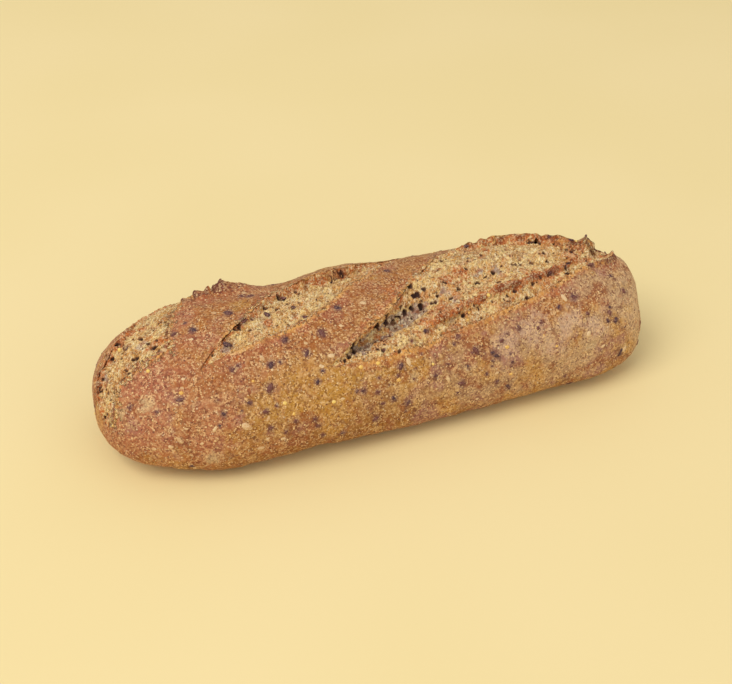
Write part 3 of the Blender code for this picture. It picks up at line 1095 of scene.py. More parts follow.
@dataclass(frozen=True)
class CrustTones:
    """Baked crust: golden to reddish brown, beaded with pale grit and painted glints, stained by its
    grains.

    Its layers are, in order: the zones along the loaf and at its foot; mottles; the browner top; the
    patches that are seen in places; the pink of the round end; the lips; burns; stains; and flour.
    """

    middle: Colour = srgb(172, 122, 66)
    layers: Sequence[Layer] = (
        Layer(srgb(182, 118, 74), ALONG, -35, -85),
        Layer(srgb(184, 146, 108), ALONG, 5, 60),
        Layer(srgb(206, 168, 124), ALONG, 74, 112),
        Layer(srgb(154, 100, 36), UPWARD, 24, 7, 0.95),
        Layer(srgb(194, 138, 56), Noise(21), 0.50, 0.62, 0.75),
        Layer(srgb(160, 108, 98), Noise(15), 0.52, 0.64, 0.75),
        Layer(srgb(148, 80, 40), Noise(9.5), 0.53, 0.65, 0.75),
        Layer(srgb(204, 160, 100), Noise(6.1), 0.55, 0.70, 0.60),
        Layer(srgb(122, 74, 50), Noise(4.3), 0.56, 0.70, 0.60),
        Layer(srgb(170, 96, 36), UPWARD, 38, 50, 0.6),
        Layer(srgb(188, 136, 50), patched("golden"), 0.15, 0.8, 0.7),
        Layer(srgb(166, 90, 58), patched("ruddy"), 0.15, 0.8, 0.7),
        Layer(srgb(202, 166, 138), patched("mauve"), 0.15, 0.8, 0.75),
        Layer(srgb(190, 106, 44), patched("seared"), 0.15, 0.8, 0.8),
        Layer(srgb(176, 104, 74), ALONG, -45, -90, broken=Mottle(Noise(13), 0.36, 0.60, 0.6)),
        Layer(srgb(178, 100, 62), LIP, 0.05, 0.5, 0.6),
        Layer(srgb(146, 72, 40), LIP, 0.2, 0.7, broken=Mottle(Noise(4.2, 3, 0.6), 0.50, 0.62, 0.6)),
        Layer(
            srgb(226, 164, 84),
            Frayed("lip", 0.15, 1.8, 3),
            0.4,
            0.8,
            broken=Mottle(Noise(8), 0.36, 0.6, most=0.85, least=0.2),
        ),
        Layer(srgb(104, 44, 34), Frayed("burnt", 0.25, 2.2, 3, 0.5), 0.15, 0.7, 0.9),
        Layer(srgb(112, 74, 72), Dusted("stain", 0.8, 1.3, 3, 0.7), 0.5, 1.05, 0.75),
        Layer(srgb(204, 172, 126), Dusted("flour", 2.2, 1.9, 4, 0.75), 1.3, 1.9, 0.75),
    )
    grit: Grit = Grit(dark=srgb(96, 50, 32), pale=srgb(240, 200, 144), sizes=((1.1, 0.2), (0.6, 0.42)))
    speck: Colour = srgb(106, 58, 50)
    # Pale beads: partly grit, partly painted glints of light.
    bead_glint_pale: Colour = srgb(252, 224, 184)
    bead_glint_warm: Colour = srgb(248, 208, 150)
    faintest: float = 0.3
    dots: Sequence[Dots] = (
        Dots(1.9, 0.27, 0.55, 0.9),
        Dots(2.6, 0.22, 0.75, 1.0, 0.24),
        Dots(1.5, 0.25, 0.75, 1.0, 0.18),
    )
    relief: Sequence[tuple[Source, float]] = ((Noise(0.7, 2, 0.7), 0.4), (Noise(2.6, 2), 0.7))

    def paint(self, g: Graph) -> tuple[Socket, Socket]:
        """Adds the crust's nodes. Dots that stand up are pale beads, partly grit and partly painted glints,
        and the rest are dark specks.

        Args:
            g: The material's nodes.

        Returns:
            Its colour, and its relief in millimetres.
        """
        colour = g.gritty(g.layered(self.middle, self.layers), self.grit)
        height = g.heights(self.relief)
        for dots in self.dots:
            disc, own = g.dots(dots)
            # Standing dots are pale beads, partly grit and partly painted glints.
            bead_glint = g.blend(g.ramp(own, *MIDST), self.bead_glint_pale, self.bead_glint_warm)
            strength = g.times(g.ramp(own, 0, 1, self.faintest), dots.strength)
            colour = g.blend(g.times(disc, strength), colour, bead_glint if dots.stand else self.speck)
            height = g.plus(height, g.times(disc, dots.stand))
        return colour, height


PROUD = Frayed("proud", 0.35, 1.3)
TOASTED = Frayed("toast", 0.45, 2.0, 4, 0.75, second="seared", second_share=1.1)
THREADS = Strands((0.8, 2.6, 1.0), 24, 0.8)
STREAKS = Strands((15.0, 3.4, 3.4), -31, 0.5)
TOAST = srgb(202, 108, 44)


@dataclass(frozen=True)
class CrumbTones:
    """Torn crumb: straw-coloured with pale threads, toasted where proud, painted grey shade where deep.

    Its layers are, in order: how proud it stands, with painted shade in its dips; golden and brown
    patches; the grey of its hollows, partly painted shade; painted shade in the grooves between its
    threads, and the threads; what is toasted; and what is burnt. Grit, stains, and the painted shade of
    its pores, darker at their bottoms, lie over them.
    """

    # Painted shade: the crumb is darkest where it lies lowest in its own relief, and pales as it rises.
    deep: Colour = srgb(172, 122, 76)
    layers: Sequence[Layer] = (
        Layer(srgb(224, 180, 112), PROUD, -0.9, -0.25),
        Layer(srgb(250, 214, 140), PROUD, -0.35, 0.1),
        Layer(srgb(228, 168, 84), Noise(6, 4, 0.6), 0.46, 0.6, 0.9),
        Layer(srgb(196, 124, 60), Noise(4.7, 4, 0.65), 0.52, 0.64, 0.85),
        # Grey of the hollows: partly the crumb's own grey, partly painted shade where it lies deep and in
        # its shaded patches.
        Layer(srgb(172, 148, 136), Frayed("deep", 0.3, 3.1, 3, 0.5, "grey_and_shade", 0.8), 0.22, 0.65, 0.9),
        # Painted shade in the grooves between the threads.
        Layer(srgb(160, 106, 62), THREADS, 0.46, 0.36, 0.65),
        Layer(srgb(252, 234, 192), THREADS, 0.53, 0.63, 0.75),
        Layer(TOAST, PROUD, 0.4, 1.1, 0.6),
        Layer(TOAST, STREAKS, 0.52, 0.68, 0.5),
        Layer(TOAST, TOASTED, 0.25, 0.72, 0.9),
        Layer(srgb(120, 52, 26), TOASTED, 0.85, 1.3, 0.75),
    )
    grit: Grit = Grit(dark=srgb(128, 72, 38), pale=srgb(252, 230, 180), sizes=((1.1, 0.22), (0.6, 0.38)))
    stain: Layer = Layer(srgb(104, 70, 66), Kept("stain"), 0.2, 0.8, 0.5)
    # Painted shade in the pores: a brown over their edges and the small pores, darker at the bottoms of the
    # deeper ones.
    pore: Colour = srgb(108, 64, 42)
    pore_shade_share: float = 0.85
    pore_shade_edge: Mottle = Mottle(Kept("pore"), 0.05, 0.3, most=1)
    pore_bottom_shade: Layer = Layer(srgb(66, 42, 34), Kept("pore"), 0.3, 0.75, 0.95)
    small_pores: Dots = Dots(1.7, 0.25, 0.42, 0.8, -0.3)
    relief: Sequence[tuple[Source, float]] = ((THREADS, 1.0), (STREAKS, 1.5), (Noise(0.8, 2, 0.7), 0.5))

    def paint(self, g: Graph) -> tuple[Socket, Socket]:
        """Adds the crumb's nodes.

        Args:
            g: The material's nodes.

        Returns:
            Its colour, and its relief in millimetres.
        """
        colour = g.gritty(g.layered(self.deep, self.layers), self.grit)
        colour = g.layered(colour, (self.stain,))
        # Painted shade in the small pores and over the edges of the round ones, then darker at their
        # bottoms.
        small, _ = g.dots(self.small_pores)
        small_pore_shade = g.times(small, self.small_pores.strength)
        pore = g.math("MAXIMUM", g.let_through(self.pore_shade_edge), small_pore_shade)
        colour = g.blend(g.times(pore, self.pore_shade_share), colour, self.pore)
        colour = g.layered(colour, (self.pore_bottom_shade,))
        return colour, g.plus(g.heights(self.relief), g.times(small, self.small_pores.stand))


@dataclass(frozen=True)
class BreadFinish:
    """Matt bread: crust, and crumb where the attribute named bare says that it is torn open."""

    crust: CrustTones = CrustTones()
    crumb: CrumbTones = CrumbTones()
    torn_open: Mottle = Mottle(Frayed("bare", 0.4, 1.9), 0.42, 0.6, 1)
    roughness: Mottle = Mottle(Noise(1.4, 2), 0.35, 0.65, most=0.8, least=0.55)
    specular: float = 0.3

    def make(self) -> bpy.types.Material:
        """Builds the material.

        Returns:
            The finished material.
        """
        g = Graph("bread")
        crust, crust_relief = self.crust.paint(g)
        crumb, crumb_relief = self.crumb.paint(g)
        bare = g.let_through(self.torn_open)
        covered = g.math("SUBTRACT", 1.0, bare)
        g.bump(g.plus(g.times(crumb_relief, bare), g.times(crust_relief, covered)))
        g.set(
            Base_Color=g.blend(bare, crust, crumb),
            Roughness=g.let_through(self.roughness),
            Specular_IOR_Level=self.specular,
        )
        return g.material


@dataclass(frozen=True)
class GrainFinish:
    """The skin of one kind of grain, in tones that vary from grain to grain, dusted with crust."""

    name: str
    skin: Colour
    other: Colour
    dusting: Colour
    roughness: float
    relief: Sequence[tuple[Source, float]] = ((Noise(0.6), 0.2),)
    specular: float = 0.35

    def make(self) -> bpy.types.Material:
        """Builds the material.

        Returns:
            The finished material.
        """
        g = Graph(self.name)
        layers = (
            Layer(self.other, Noise(9, 2), 0.42, 0.58),
            Layer(self.dusting, Noise(0.8, 3, 0.7), 0.49, 0.66, 0.7),
        )
        g.bump(g.heights(self.relief))
        g.set(
            Base_Color=g.layered(self.skin, layers),
            Roughness=self.roughness,
            Specular_IOR_Level=self.specular,
        )
        return g.material


@dataclass(frozen=True)
class FloorFinish:
    """Plain pale straw-coloured board."""

    straw: Colour = srgb(239, 218, 161)
    lighter: Layer = Layer(srgb(241, 220, 165), Noise(160, 1), 0.3, 0.7)
    roughness: float = 0.9
    specular: float = 0.1

    def make(self) -> bpy.types.Material:
        """Builds the material.

        Returns:
            The finished material.
        """
        g = Graph("floor")
        g.set(
            Base_Color=g.layered(self.straw, (self.lighter,)),
            Roughness=self.roughness,
            Specular_IOR_Level=self.specular,
        )
        return g.material


@dataclass
class Crust:
    """The crust: one closed shell that covers the loaf and is open at the slashes.

    No slash or crag reaches below lowest_cut. A cut passes through a corner that lies within the share
    snap of an edge. A lip is marked over lip_band beside each slash, and where it fades it is at most
    barest bare, and toasted by a share of that. The lips burn from burnt_from on, towards the blunt end.
    A crag counts as torn from one of torn_heights to the other. burnt_and_left_dark is a level by which it
    is burnt, and how much darker it gets where it faces left. The walls at the slashes go down by a depth
    and under the crust by a spread, in turn. Blisters are heights and wavelengths of noise, which comes
    in over the foot.
    """

    dough: Dough
    cells: tuple[int, int, int] = (236, 72, 46)
    refine_within: float = 2.6 * MM
    lowest_cut: float = 12 * MM
    snap: float = 0.22
    lip_band: float = 3.6 * MM
    barest: float = 0.62
    burnt_from: tuple[float, float] = (92 * MM, 106 * MM)
    toasted: float = 0.7
    torn_heights: tuple[float, float] = (0.2 * MM, 2.5 * MM)
    burnt_and_left_dark: tuple[float, float] = (0.6, 0.9)
    foot: float = 3 * MM
    walls: Points = ((0.7 * MM, 0.9 * MM), (10 * MM, 2 * MM))
    blisters: Points = ((0.35 * MM, 5.6 * MM), (0.2 * MM, 2.6 * MM), (0.1 * MM, 1.4 * MM))
    blister_row: int = 3

    def build(self) -> tuple[bmesh.types.BMesh, BVHTree]:
        """Makes the shell.

        Returns:
            The crust, and a tree of the body's surface before it is slashed.
        """
        mesh = self.dough.mesh(self.cells)
        surface = BVHTree.FromBMesh(mesh)
        self.refine(mesh)
        for slash in SLASHES:
            self.cut(mesh, slash)
        self.remove_inside(mesh)
        self.raise_lips(mesh)
        self.wall(mesh)
        return mesh, surface

    def levels(self, points: np.ndarray, slash: Slash) -> np.ndarray:
        """How far inside a slash each point lies, and below zero where no slash reaches."""
        return np.where(points[:, 2] > self.lowest_cut, slash.places(points).inside, -1)

    def refine(self, mesh: bmesh.types.BMesh) -> None:
        """Halves the cells along the lips and the crags.

        Args:
            mesh: The body's mesh.
        """
        points = coordinates(mesh)
        near = np.zeros(len(points), bool)
        for slash in SLASHES:
            near |= np.abs(self.levels(points, slash)) < self.refine_within
        for crag in CRAGS:
            near |= np.linalg.norm(points[:, :2] / MM - (crag.x, crag.y), axis=1) < crag.deep + crag.steep
        mesh.verts.ensure_lookup_table()
        mesh.edges.index_update()
        close = [mesh.verts[index] for index in np.flatnonzero(near)]
        edges = {edge for vert in close for face in vert.link_faces for edge in face.edges}
        bmesh.ops.subdivide_edges(
            mesh, edges=sorted(edges, key=lambda edge: edge.index), cuts=1, use_grid_fill=True
        )

    def cut(self, mesh: bmesh.types.BMesh, slash: Slash) -> None:
        """Runs a line of edges along a slash's lips.

        Args:
            mesh: The mesh to cut.
            slash: The slash whose lips are followed.
        """
        values = dict(zip(mesh.verts, self.levels(coordinates(mesh), slash).tolist()))

        def crosses(edge: bmesh.types.BMEdge) -> bool:
            """Whether the lip passes between an edge's ends."""
            return values[edge.verts[0]] * values[edge.verts[1]] < 0

        def share_of(edge: bmesh.types.BMEdge) -> float:
            """How far along an edge the lip passes."""
            start, end = (values[vert] for vert in edge.verts)
            return start / (start - end)

        for edge in filter(crosses, mesh.edges):
            for vert, share in zip(edge.verts, (share_of(edge), 1 - share_of(edge))):
                if share < self.snap:
                    vert.co = vert.co.lerp(edge.other_vert(vert).co, share)
                    values[vert] = 0
                    break
        for edge in list(filter(crosses, mesh.edges)):
            vert = bmesh.utils.edge_split(edge, edge.verts[0], share_of(edge))[1]
            values[vert] = 0
        bmesh.ops.connect_verts(mesh, verts=[vert for vert in mesh.verts if values[vert] == 0])

    def remove_inside(self, mesh: bmesh.types.BMesh) -> None:
        """Opens the slashes.

        Args:
            mesh: The body's mesh, cut along the lips.
        """
        middles = np.array([face.calc_center_median() for face in mesh.faces])
        inside = np.zeros(len(middles), bool)
        for slash in SLASHES:
            inside |= self.levels(middles, slash) > 0
        mesh.faces.ensure_lookup_table()
        opened = [mesh.faces[index] for index in np.flatnonzero(inside)]
        bmesh.ops.delete(mesh, geom=opened, context="FACES")

    def raise_lips(self, mesh: bmesh.types.BMesh) -> None:
        """Curls the near lips, lifts the ears and crags, and blisters the crust.

        Args:
            mesh: The body's mesh, open at the slashes.
        """
        points, facing = coordinates(mesh), normals(mesh)
        shift = np.zeros_like(points)
        lip, bare = np.zeros(len(points)), np.zeros(len(points))
        for slash in SLASHES:
            places = slash.places(points)
            reached = np.where(points[:, 2] > self.lowest_cut, places.opening, 0)
            shift += np.where(points[:, 2:] > self.lowest_cut, slash.lift(places, facing), 0)
            lip = np.maximum(lip, np.clip(1 + places.inside / self.lip_band, 0, 1) * reached)
            bare = np.maximum(bare, self.barest * slash.fading(places) * reached)
        crags = sum(crag.shift(points, facing) for crag in CRAGS)
        crags[points[:, 2] < self.lowest_cut] = 0
        row = self.blister_row
        blister = sum(height * noise_at(points, length, row) for height, length in self.blisters)
        above = rise(points[:, 2], 0, self.foot)
        move_to(mesh, points + shift + crags + facing * (blister * above)[:, None])
        torn = rise(np.linalg.norm(crags, axis=1), *self.torn_heights)
        # Torn crust is burnt by a level, and darker still where it faces left.
        level, slope = self.burnt_and_left_dark
        burnt = torn * np.clip(level - slope * normals(mesh)[:, 0], 0, 1)
        store(mesh, "lip", lip)
        store(mesh, "bare", bare)
        store(mesh, "toast", self.toasted * bare)
        store(mesh, "burnt", np.maximum(burnt, lip * rise(points[:, 0], *self.burnt_from)))

    def wall(self, mesh: bmesh.types.BMesh) -> None:
        """Gives the crust its thickness at the lips, and closes it deep under the crumb.

        Args:
            mesh: The crust, open at the slashes.
        """
        mesh.normal_update()
        rim = [edge for edge in mesh.edges if edge.is_boundary]
        facing = {vert: vert.normal.copy() for edge in rim for vert in edge.verts}
        outward = {vert: Vector() for vert in facing}
        for edge in rim:
            middle = (edge.verts[0].co + edge.verts[1].co) / 2
            away = (edge.link_faces[0].calc_center_median() - middle).normalized()
            for vert in edge.verts:
                outward[vert] += away
        for vert, away in outward.items():
            outward[vert] = (away - facing[vert] * away.dot(facing[vert])).normalized()
        for depth, spread in self.walls:
            rim = self.draw_down(mesh, rim, facing, outward, depth, spread)
        filled = bmesh.ops.holes_fill(mesh, edges=rim)["faces"]
        bmesh.ops.triangulate(mesh, faces=filled)
        bmesh.ops.recalc_face_normals(mesh, faces=mesh.faces[:])

    def draw_down(
        self,
        mesh: bmesh.types.BMesh,
        rim: list[bmesh.types.BMEdge],
        facing: dict[bmesh.types.BMVert, Vector],
        outward: dict[bmesh.types.BMVert, Vector],
        depth: float,
        spread: float,
    ) -> list[bmesh.types.BMEdge]:
        """Draws a rim down into the loaf and under its crust.

        Args:
            mesh: The mesh that holds the rim.
            rim: Its edges.
            facing: The way the crust faces at each corner. The new corners are added.
            outward: The way under the crust at each corner. The new corners are added.
            depth: How far it goes down.
            spread: How far it goes under the crust.

        Returns:
            The new rim.
        """
        made = bmesh.ops.extrude_edge_only(mesh, edges=rim)["geom"]
        for vert in [item for item in made if isinstance(item, bmesh.types.BMVert)]:
            old = next(
                edge.other_vert(vert) for edge in vert.link_edges if edge.other_vert(vert) in facing
            )
            facing[vert], outward[vert] = facing[old], outward[old]
            vert.co += outward[old] * spread - facing[old] * depth
        return [item for item in made if isinstance(item, bmesh.types.BMEdge) and item.is_boundary]


@dataclass(frozen=True)
class Ridge:
    """A torn ridge of crumb that runs along a slash, at a share of its width. All in millimetres.

    It rises and dies away between the given places along the slash. Its far side falls over half_width,
    and its near side steepness times as fast. wander, swells and ragged are shares or heights, and
    wavelengths, of the noise that moves it, changes its height and tears it. At peak it is higher: how
    much, where, and over what length.
    """

    share: float
    half_width: float = 1.9
    steepness: float = 3
    wander: Points = ((0.03, 7), (0.015, 2.1))
    height: float = 1.9
    swells: Points = ((1.1, 5.2), (0.3, 1.9))
    ragged: Points = ((0.45, 2.8), (0.3, 1.3))
    peak: tuple[float, float, float] = (1.2, 21, 4)
    rises: tuple[float, float] = (11, 19)
    dies: tuple[float, float] = (96, 104)
    lowest: float = 0.3
    wander_row: int = 2
    swell_row: int = 6
    ragged_row: int = 8

    def heights(self, flat: np.ndarray, places: Places) -> np.ndarray:
        """How high it stands.

        Args:
            flat: The crumb's corners, laid flat.
            places: Where they lie in the slash.

        Returns:
            Its height at each corner, in metres.
        """
        u = places.u
        wander = sum(
            share * row_noise(u, length, row)
            for row, (share, length) in enumerate(self.wander, self.wander_row)
        )
        off = (places.share - self.share - wander) * places.gap / (self.half_width * MM)
        torn = 1 + sum(
            share * noise_at(flat, length * MM, row)
            for row, (share, length) in enumerate(self.ragged, self.ragged_row)
        )
        tall = self.height + sum(
            height * row_noise(u, length, row)
            for row, (height, length) in enumerate(self.swells, self.swell_row)
        )
        extra, where, reach = self.peak
        tall = tall + extra * np.exp(-(((u - where) / reach) ** 2))
        run = rise(u, *self.rises) * (1 - rise(u, *self.dies))
        profile = np.exp(-off * off * np.where(off < 0, self.steepness, 1))
        return np.maximum(tall * torn, self.lowest) * MM * profile * run


@dataclass
class Crumb:
    """The torn crumb that fills one slash, as a closed piece tucked under the crust.

    It reaches past the lips by its margins and lies tucked under the crust there. bump is a height and a
    wavelength of broad noise, and rough of the finer ones. fibre is the height, width, length and turn
    of its threads. Its pores lie pore_margin inside the lips or further, and have radii that fall off as
    a power, shares by which they are narrowed each way, and edges that wobble by a distance over a
    wavelength. Its far wall climbs to the lip from wall, and is up at wall_start.

    What its finish reads is measured by proudest, the height that counts as 1, by deep_from, the depths
    between which it greys, partly with painted shade, and by deepest_pore, the pore depth that counts as
    1 for the painted shade of the pores. near_toast and far_toast are the share by which it is toasted at
    each lip, and how wide; crusted is the same for the crust that shows through at the near lip.
    """

    slash: Slash
    cells: tuple[int, int]
    pores: int
    seed: int
    ridge: Ridge | None = None
    near_margin: float = 2.0 * MM
    far_margin: float = 4.0 * MM
    tip_margin: float = 1.0
    crust_thickness: float = 0.45 * MM
    tucked: float = 1.1 * MM
    tuck_width: float = 0.9 * MM
    wall: float = 1.6 * MM
    wall_start: float = -0.3 * MM
    full_relief: float = 1.5
    bump: tuple[float, float] = (0.8 * MM, 7 * MM)
    rough: Points = ((0.6 * MM, 3.3 * MM), (0.5 * MM, 1.7 * MM), (0.35 * MM, 0.95 * MM))
    rough_row: int = 5
    fibre: tuple[float, float, float, float] = (0.35 * MM, 1.3 * MM, 5 * MM, 24)
    pore_radii: tuple[float, float] = (0.25 * MM, 0.8 * MM)
    pore_falloff: float = 2.2
    pore_wobble: tuple[float, float] = (0.7 * MM, 1.7 * MM)
    wobble_rows: tuple[int, int] = (2, 7)
    pore_stretch: tuple[float, float] = (0.7, 1.3)
    pore_depth: float = 1.2
    deepest_pore: float = 1.3 * MM
    pore_margin: float = 0.6 * MM
    proudest: float = 0.8 * MM
    deep_from: tuple[float, float] = (2.6 * MM, 6.5 * MM)
    near_toast: tuple[float, float] = (0.4, 1.6 * MM)
    far_toast: tuple[float, float] = (0.9, 2.6 * MM)
    ridge_toast: float = 0.5
    most_toast: float = 1.1
    crusted: tuple[float, float] = (0.55, 3.5 * MM)
    thickness: float = 5 * MM
    view_distance: float = 0.2

    def build(self, surface: BVHTree, view: View) -> bmesh.types.BMesh:
        """Makes the crumb.

        Args:
            surface: The body's surface before it is slashed.
            view: The camera by which its hollows are placed.

        Returns:
            A new closed bmesh.
        """
        mesh = bmesh.new()
        bmesh.ops.create_grid(mesh, x_segments=self.cells[0], y_segments=self.cells[1], size=1)
        move_to(mesh, self.on_surface(coordinates(mesh), surface))
        points, facing = coordinates(mesh), normals(mesh)
        self.shape(mesh, points, facing, self.slash.places(points), view)
        self.close(mesh)
        return mesh

    def on_surface(self, grid: np.ndarray, surface: BVHTree) -> np.ndarray:
        """Lays the flat grid on the body between the lips and a little under them.

        Args:
            grid: The grid's corners, from -1 to 1 along X and Y.
            surface: The body's surface.

        Returns:
            The corners on the surface.
        """
        slash = self.slash
        first, last = slash.near[0][0] - self.tip_margin, slash.near[-1][0] + self.tip_margin
        u = first + (last - first) * (grid[:, 0] + 1) / 2
        near = through(slash.near, u) * MM - self.near_margin
        far = through(slash.far, u) * MM + self.far_margin
        away = slash.towards_viewer
        starts = np.outer(u * MM, slash.along) + away * self.view_distance
        starts[:, 1] += mix(near, far, (grid[:, 1] + 1) / 2)
        laid = []
        for start in starts.tolist():
            hit = surface.ray_cast(Vector(start), Vector(-away))[0]
            laid.append(hit if hit else surface.find_nearest(Vector(start))[0])
        return np.array(laid)

    def shape(
        self,
        mesh: bmesh.types.BMesh,
        points: np.ndarray,
        facing: np.ndarray,
        places: Places,
        view: View,
    ) -> None:
        """Sinks the crumb under the crust, roughens it and keeps what its finish reads.

        Args:
            mesh: The crumb, laid on the body's surface.
            points: Its corners.
            facing: The way they face.
            places: Where they lie in the slash.
            view: The camera by which the hollows are placed.
        """
        flat = np.stack([places.u * MM, points[:, 1], np.zeros(len(points))], 1)
        open_share = np.clip(places.opening * self.full_relief, 0, 1)
        depth = self.slash.depth(places) * places.opening
        softness = self.slash.softness(places)
        at_lip = np.minimum(depth, self.crust_thickness * np.maximum(1 - softness, 0))
        climb = 1 - rise(places.to_far, self.wall_start, self.wall)
        depth = mix(depth, at_lip, climb)
        lump = self.bump[0] * noise_at(points, self.bump[1])
        depth += self.tucked * rise(-places.inside, 0, self.tuck_width) + lump * open_share
        torn = points - facing * depth[:, None] + self.slash.lift(places, facing)
        move_to(mesh, torn)
        row = self.rough_row
        rough = sum(size * noise_at(torn, wave, row) for size, wave in self.rough) + self.threads(flat)
        crest = self.ridge.heights(flat, places) if self.ridge else np.zeros(len(flat))
        pore = self.pore_depths(mesh, flat, places, view)
        height = (rough + crest) * open_share - pore
        move_to(mesh, torn + normals(mesh) * height[:, None])
        # proud, deep and pore also lead the finish to paint shade: in the dips, the deep hollows and the
        # pores.
        store(mesh, "proud", (rough - lump) / self.proudest)
        store(mesh, "deep", rise(depth, *self.deep_from))
        store(mesh, "toast", self.toasting(places, crest))
        store(mesh, "pore", np.clip(pore / self.deepest_pore, 0, 1))
        share, width = self.crusted
        blended = np.minimum(softness, 1) * (1 - rise(places.inside, 0, width))
        store(mesh, "bare", 1 - share * blended * (places.from_near < places.to_far))

    def toasting(self, places: Places, crest: np.ndarray) -> np.ndarray:
        """How toasted the crumb is.

        Args:
            places: Where its corners lie in the slash.
            crest: How high the ridge stands there, in metres.

        Returns:
            One share for each corner.
        """
        near_share, near_width = self.near_toast
        far_share, far_width = self.far_toast
        near_lip = np.clip(1 - np.maximum(places.from_near, 0) / near_width, 0, 1)
        far_wall = np.clip(1 - np.maximum(places.to_far, 0) / far_width, 0, 1)
        browned = far_wall * through(self.slash.far_toast, places.u)
        toast = near_share * near_lip + far_share * browned + self.ridge_toast * crest / MM
        return np.clip(toast, 0, self.most_toast)

    def threads(self, flat: np.ndarray) -> np.ndarray:
        """Threads of crumb, drawn out across the slash.

        Args:
            flat: The crumb's corners, laid flat.

        Returns:
            Their height at each corner, in metres.
        """
        size, width, length, turn = self.fibre
        angle = math.radians(turn)
        along = flat[:, 0] * math.cos(angle) - flat[:, 1] * math.sin(angle)
        across = flat[:, 0] * math.sin(angle) + flat[:, 1] * math.cos(angle)
        drawn = np.stack([along / width, across / length, np.zeros(len(flat))], 1)
        return size * noise_at(drawn, 1)

    def pore_depths(
        self, mesh: bmesh.types.BMesh, flat: np.ndarray, places: Places, view: View
    ) -> np.ndarray:
        """How deep the round pores go in at each corner.

        Args:
            mesh: The crumb before its relief.
            flat: Its corners, laid flat.
            places: Where they lie in the slash.
            view: The camera by which the hollows are placed.

        Returns:
            One depth for each corner, in metres.
        """
        draw = random.Random(self.seed)
        tree = BVHTree.FromBMesh(mesh)
        mesh.verts.index_update()
        mesh.faces.ensure_lookup_table()
        low, high = self.pore_radii
        inside = np.flatnonzero(places.inside > self.pore_margin)
        holes = []
        for _ in range(self.pores):
            share = 1 - draw.random() * (1 - (low / high) ** self.pore_falloff)
            radius = low * share ** (-1 / self.pore_falloff)
            holes.append((flat[inside[draw.randrange(len(inside))], :2], radius))
        for x, y, radius in self.slash.hollows:
            face = tree.ray_cast(view.eye(), view.ray(x, y))[2]
            if face is not None:
                holes.append((flat[mesh.faces[face].verts[0].index, :2], radius * MM))
        depth = np.zeros(len(flat))
        distance, length = self.pore_wobble
        wobble = np.stack([noise_at(flat, length, row) for row in self.wobble_rows], 1)
        bent = flat[:, :2] + wobble * distance
        for middle, radius in holes:
            stretch = np.array([draw.uniform(*self.pore_stretch) for _ in range(2)])
            off = (bent - middle) * stretch
            bowl = np.sqrt(np.clip(1 - (off**2).sum(1) / radius**2, 0, 1)) * radius * self.pore_depth
            depth = np.maximum(depth, bowl)
        return depth

    def close(self, mesh: bmesh.types.BMesh) -> None:
        """Closes the crumb underneath.

        Args:
            mesh: The crumb's upper side.
        """
        rim = [edge for edge in mesh.edges if edge.is_boundary]
        made = bmesh.ops.extrude_edge_only(mesh, edges=rim)["geom"]
        lower = [item for item in made if isinstance(item, bmesh.types.BMVert)]
        bmesh.ops.translate(mesh, verts=lower, vec=self.slash.towards_viewer * -self.thickness)
        floor = [item for item in made if isinstance(item, bmesh.types.BMEdge) and item.is_boundary]
        filled = bmesh.ops.holes_fill(mesh, edges=floor)["faces"]
        bmesh.ops.triangulate(mesh, faces=filled)
        bmesh.ops.recalc_face_normals(mesh, faces=mesh.faces[:])


class Kind(Enum):
    """The kinds of grain in the crust."""

    FLAX = "flax"
    MILLET = "millet"
    FLAKE = "flake"


@dataclass(frozen=True)
class Grain:
    """One kind of grain: its size in millimetres, how it lies, how many there are, and its skin.

    The marked grains are those that stand out on the near side: the pixel where each is seen, its
    length in millimetres and its angle in the picture, in degrees from level. The others are scaled at
    random. Grains narrow to one end by the share point, and stain the bread within a radius.
    """

    kind: Kind
    size: tuple[float, float, float]
    sunk: float
    count: int
    finish: GrainFinish
    marked: Sequence[tuple[float, float, float, float]]
    scales: tuple[float, float] = (0.45, 1.0)
    point: float = 0.0
    stain: float = 0.0


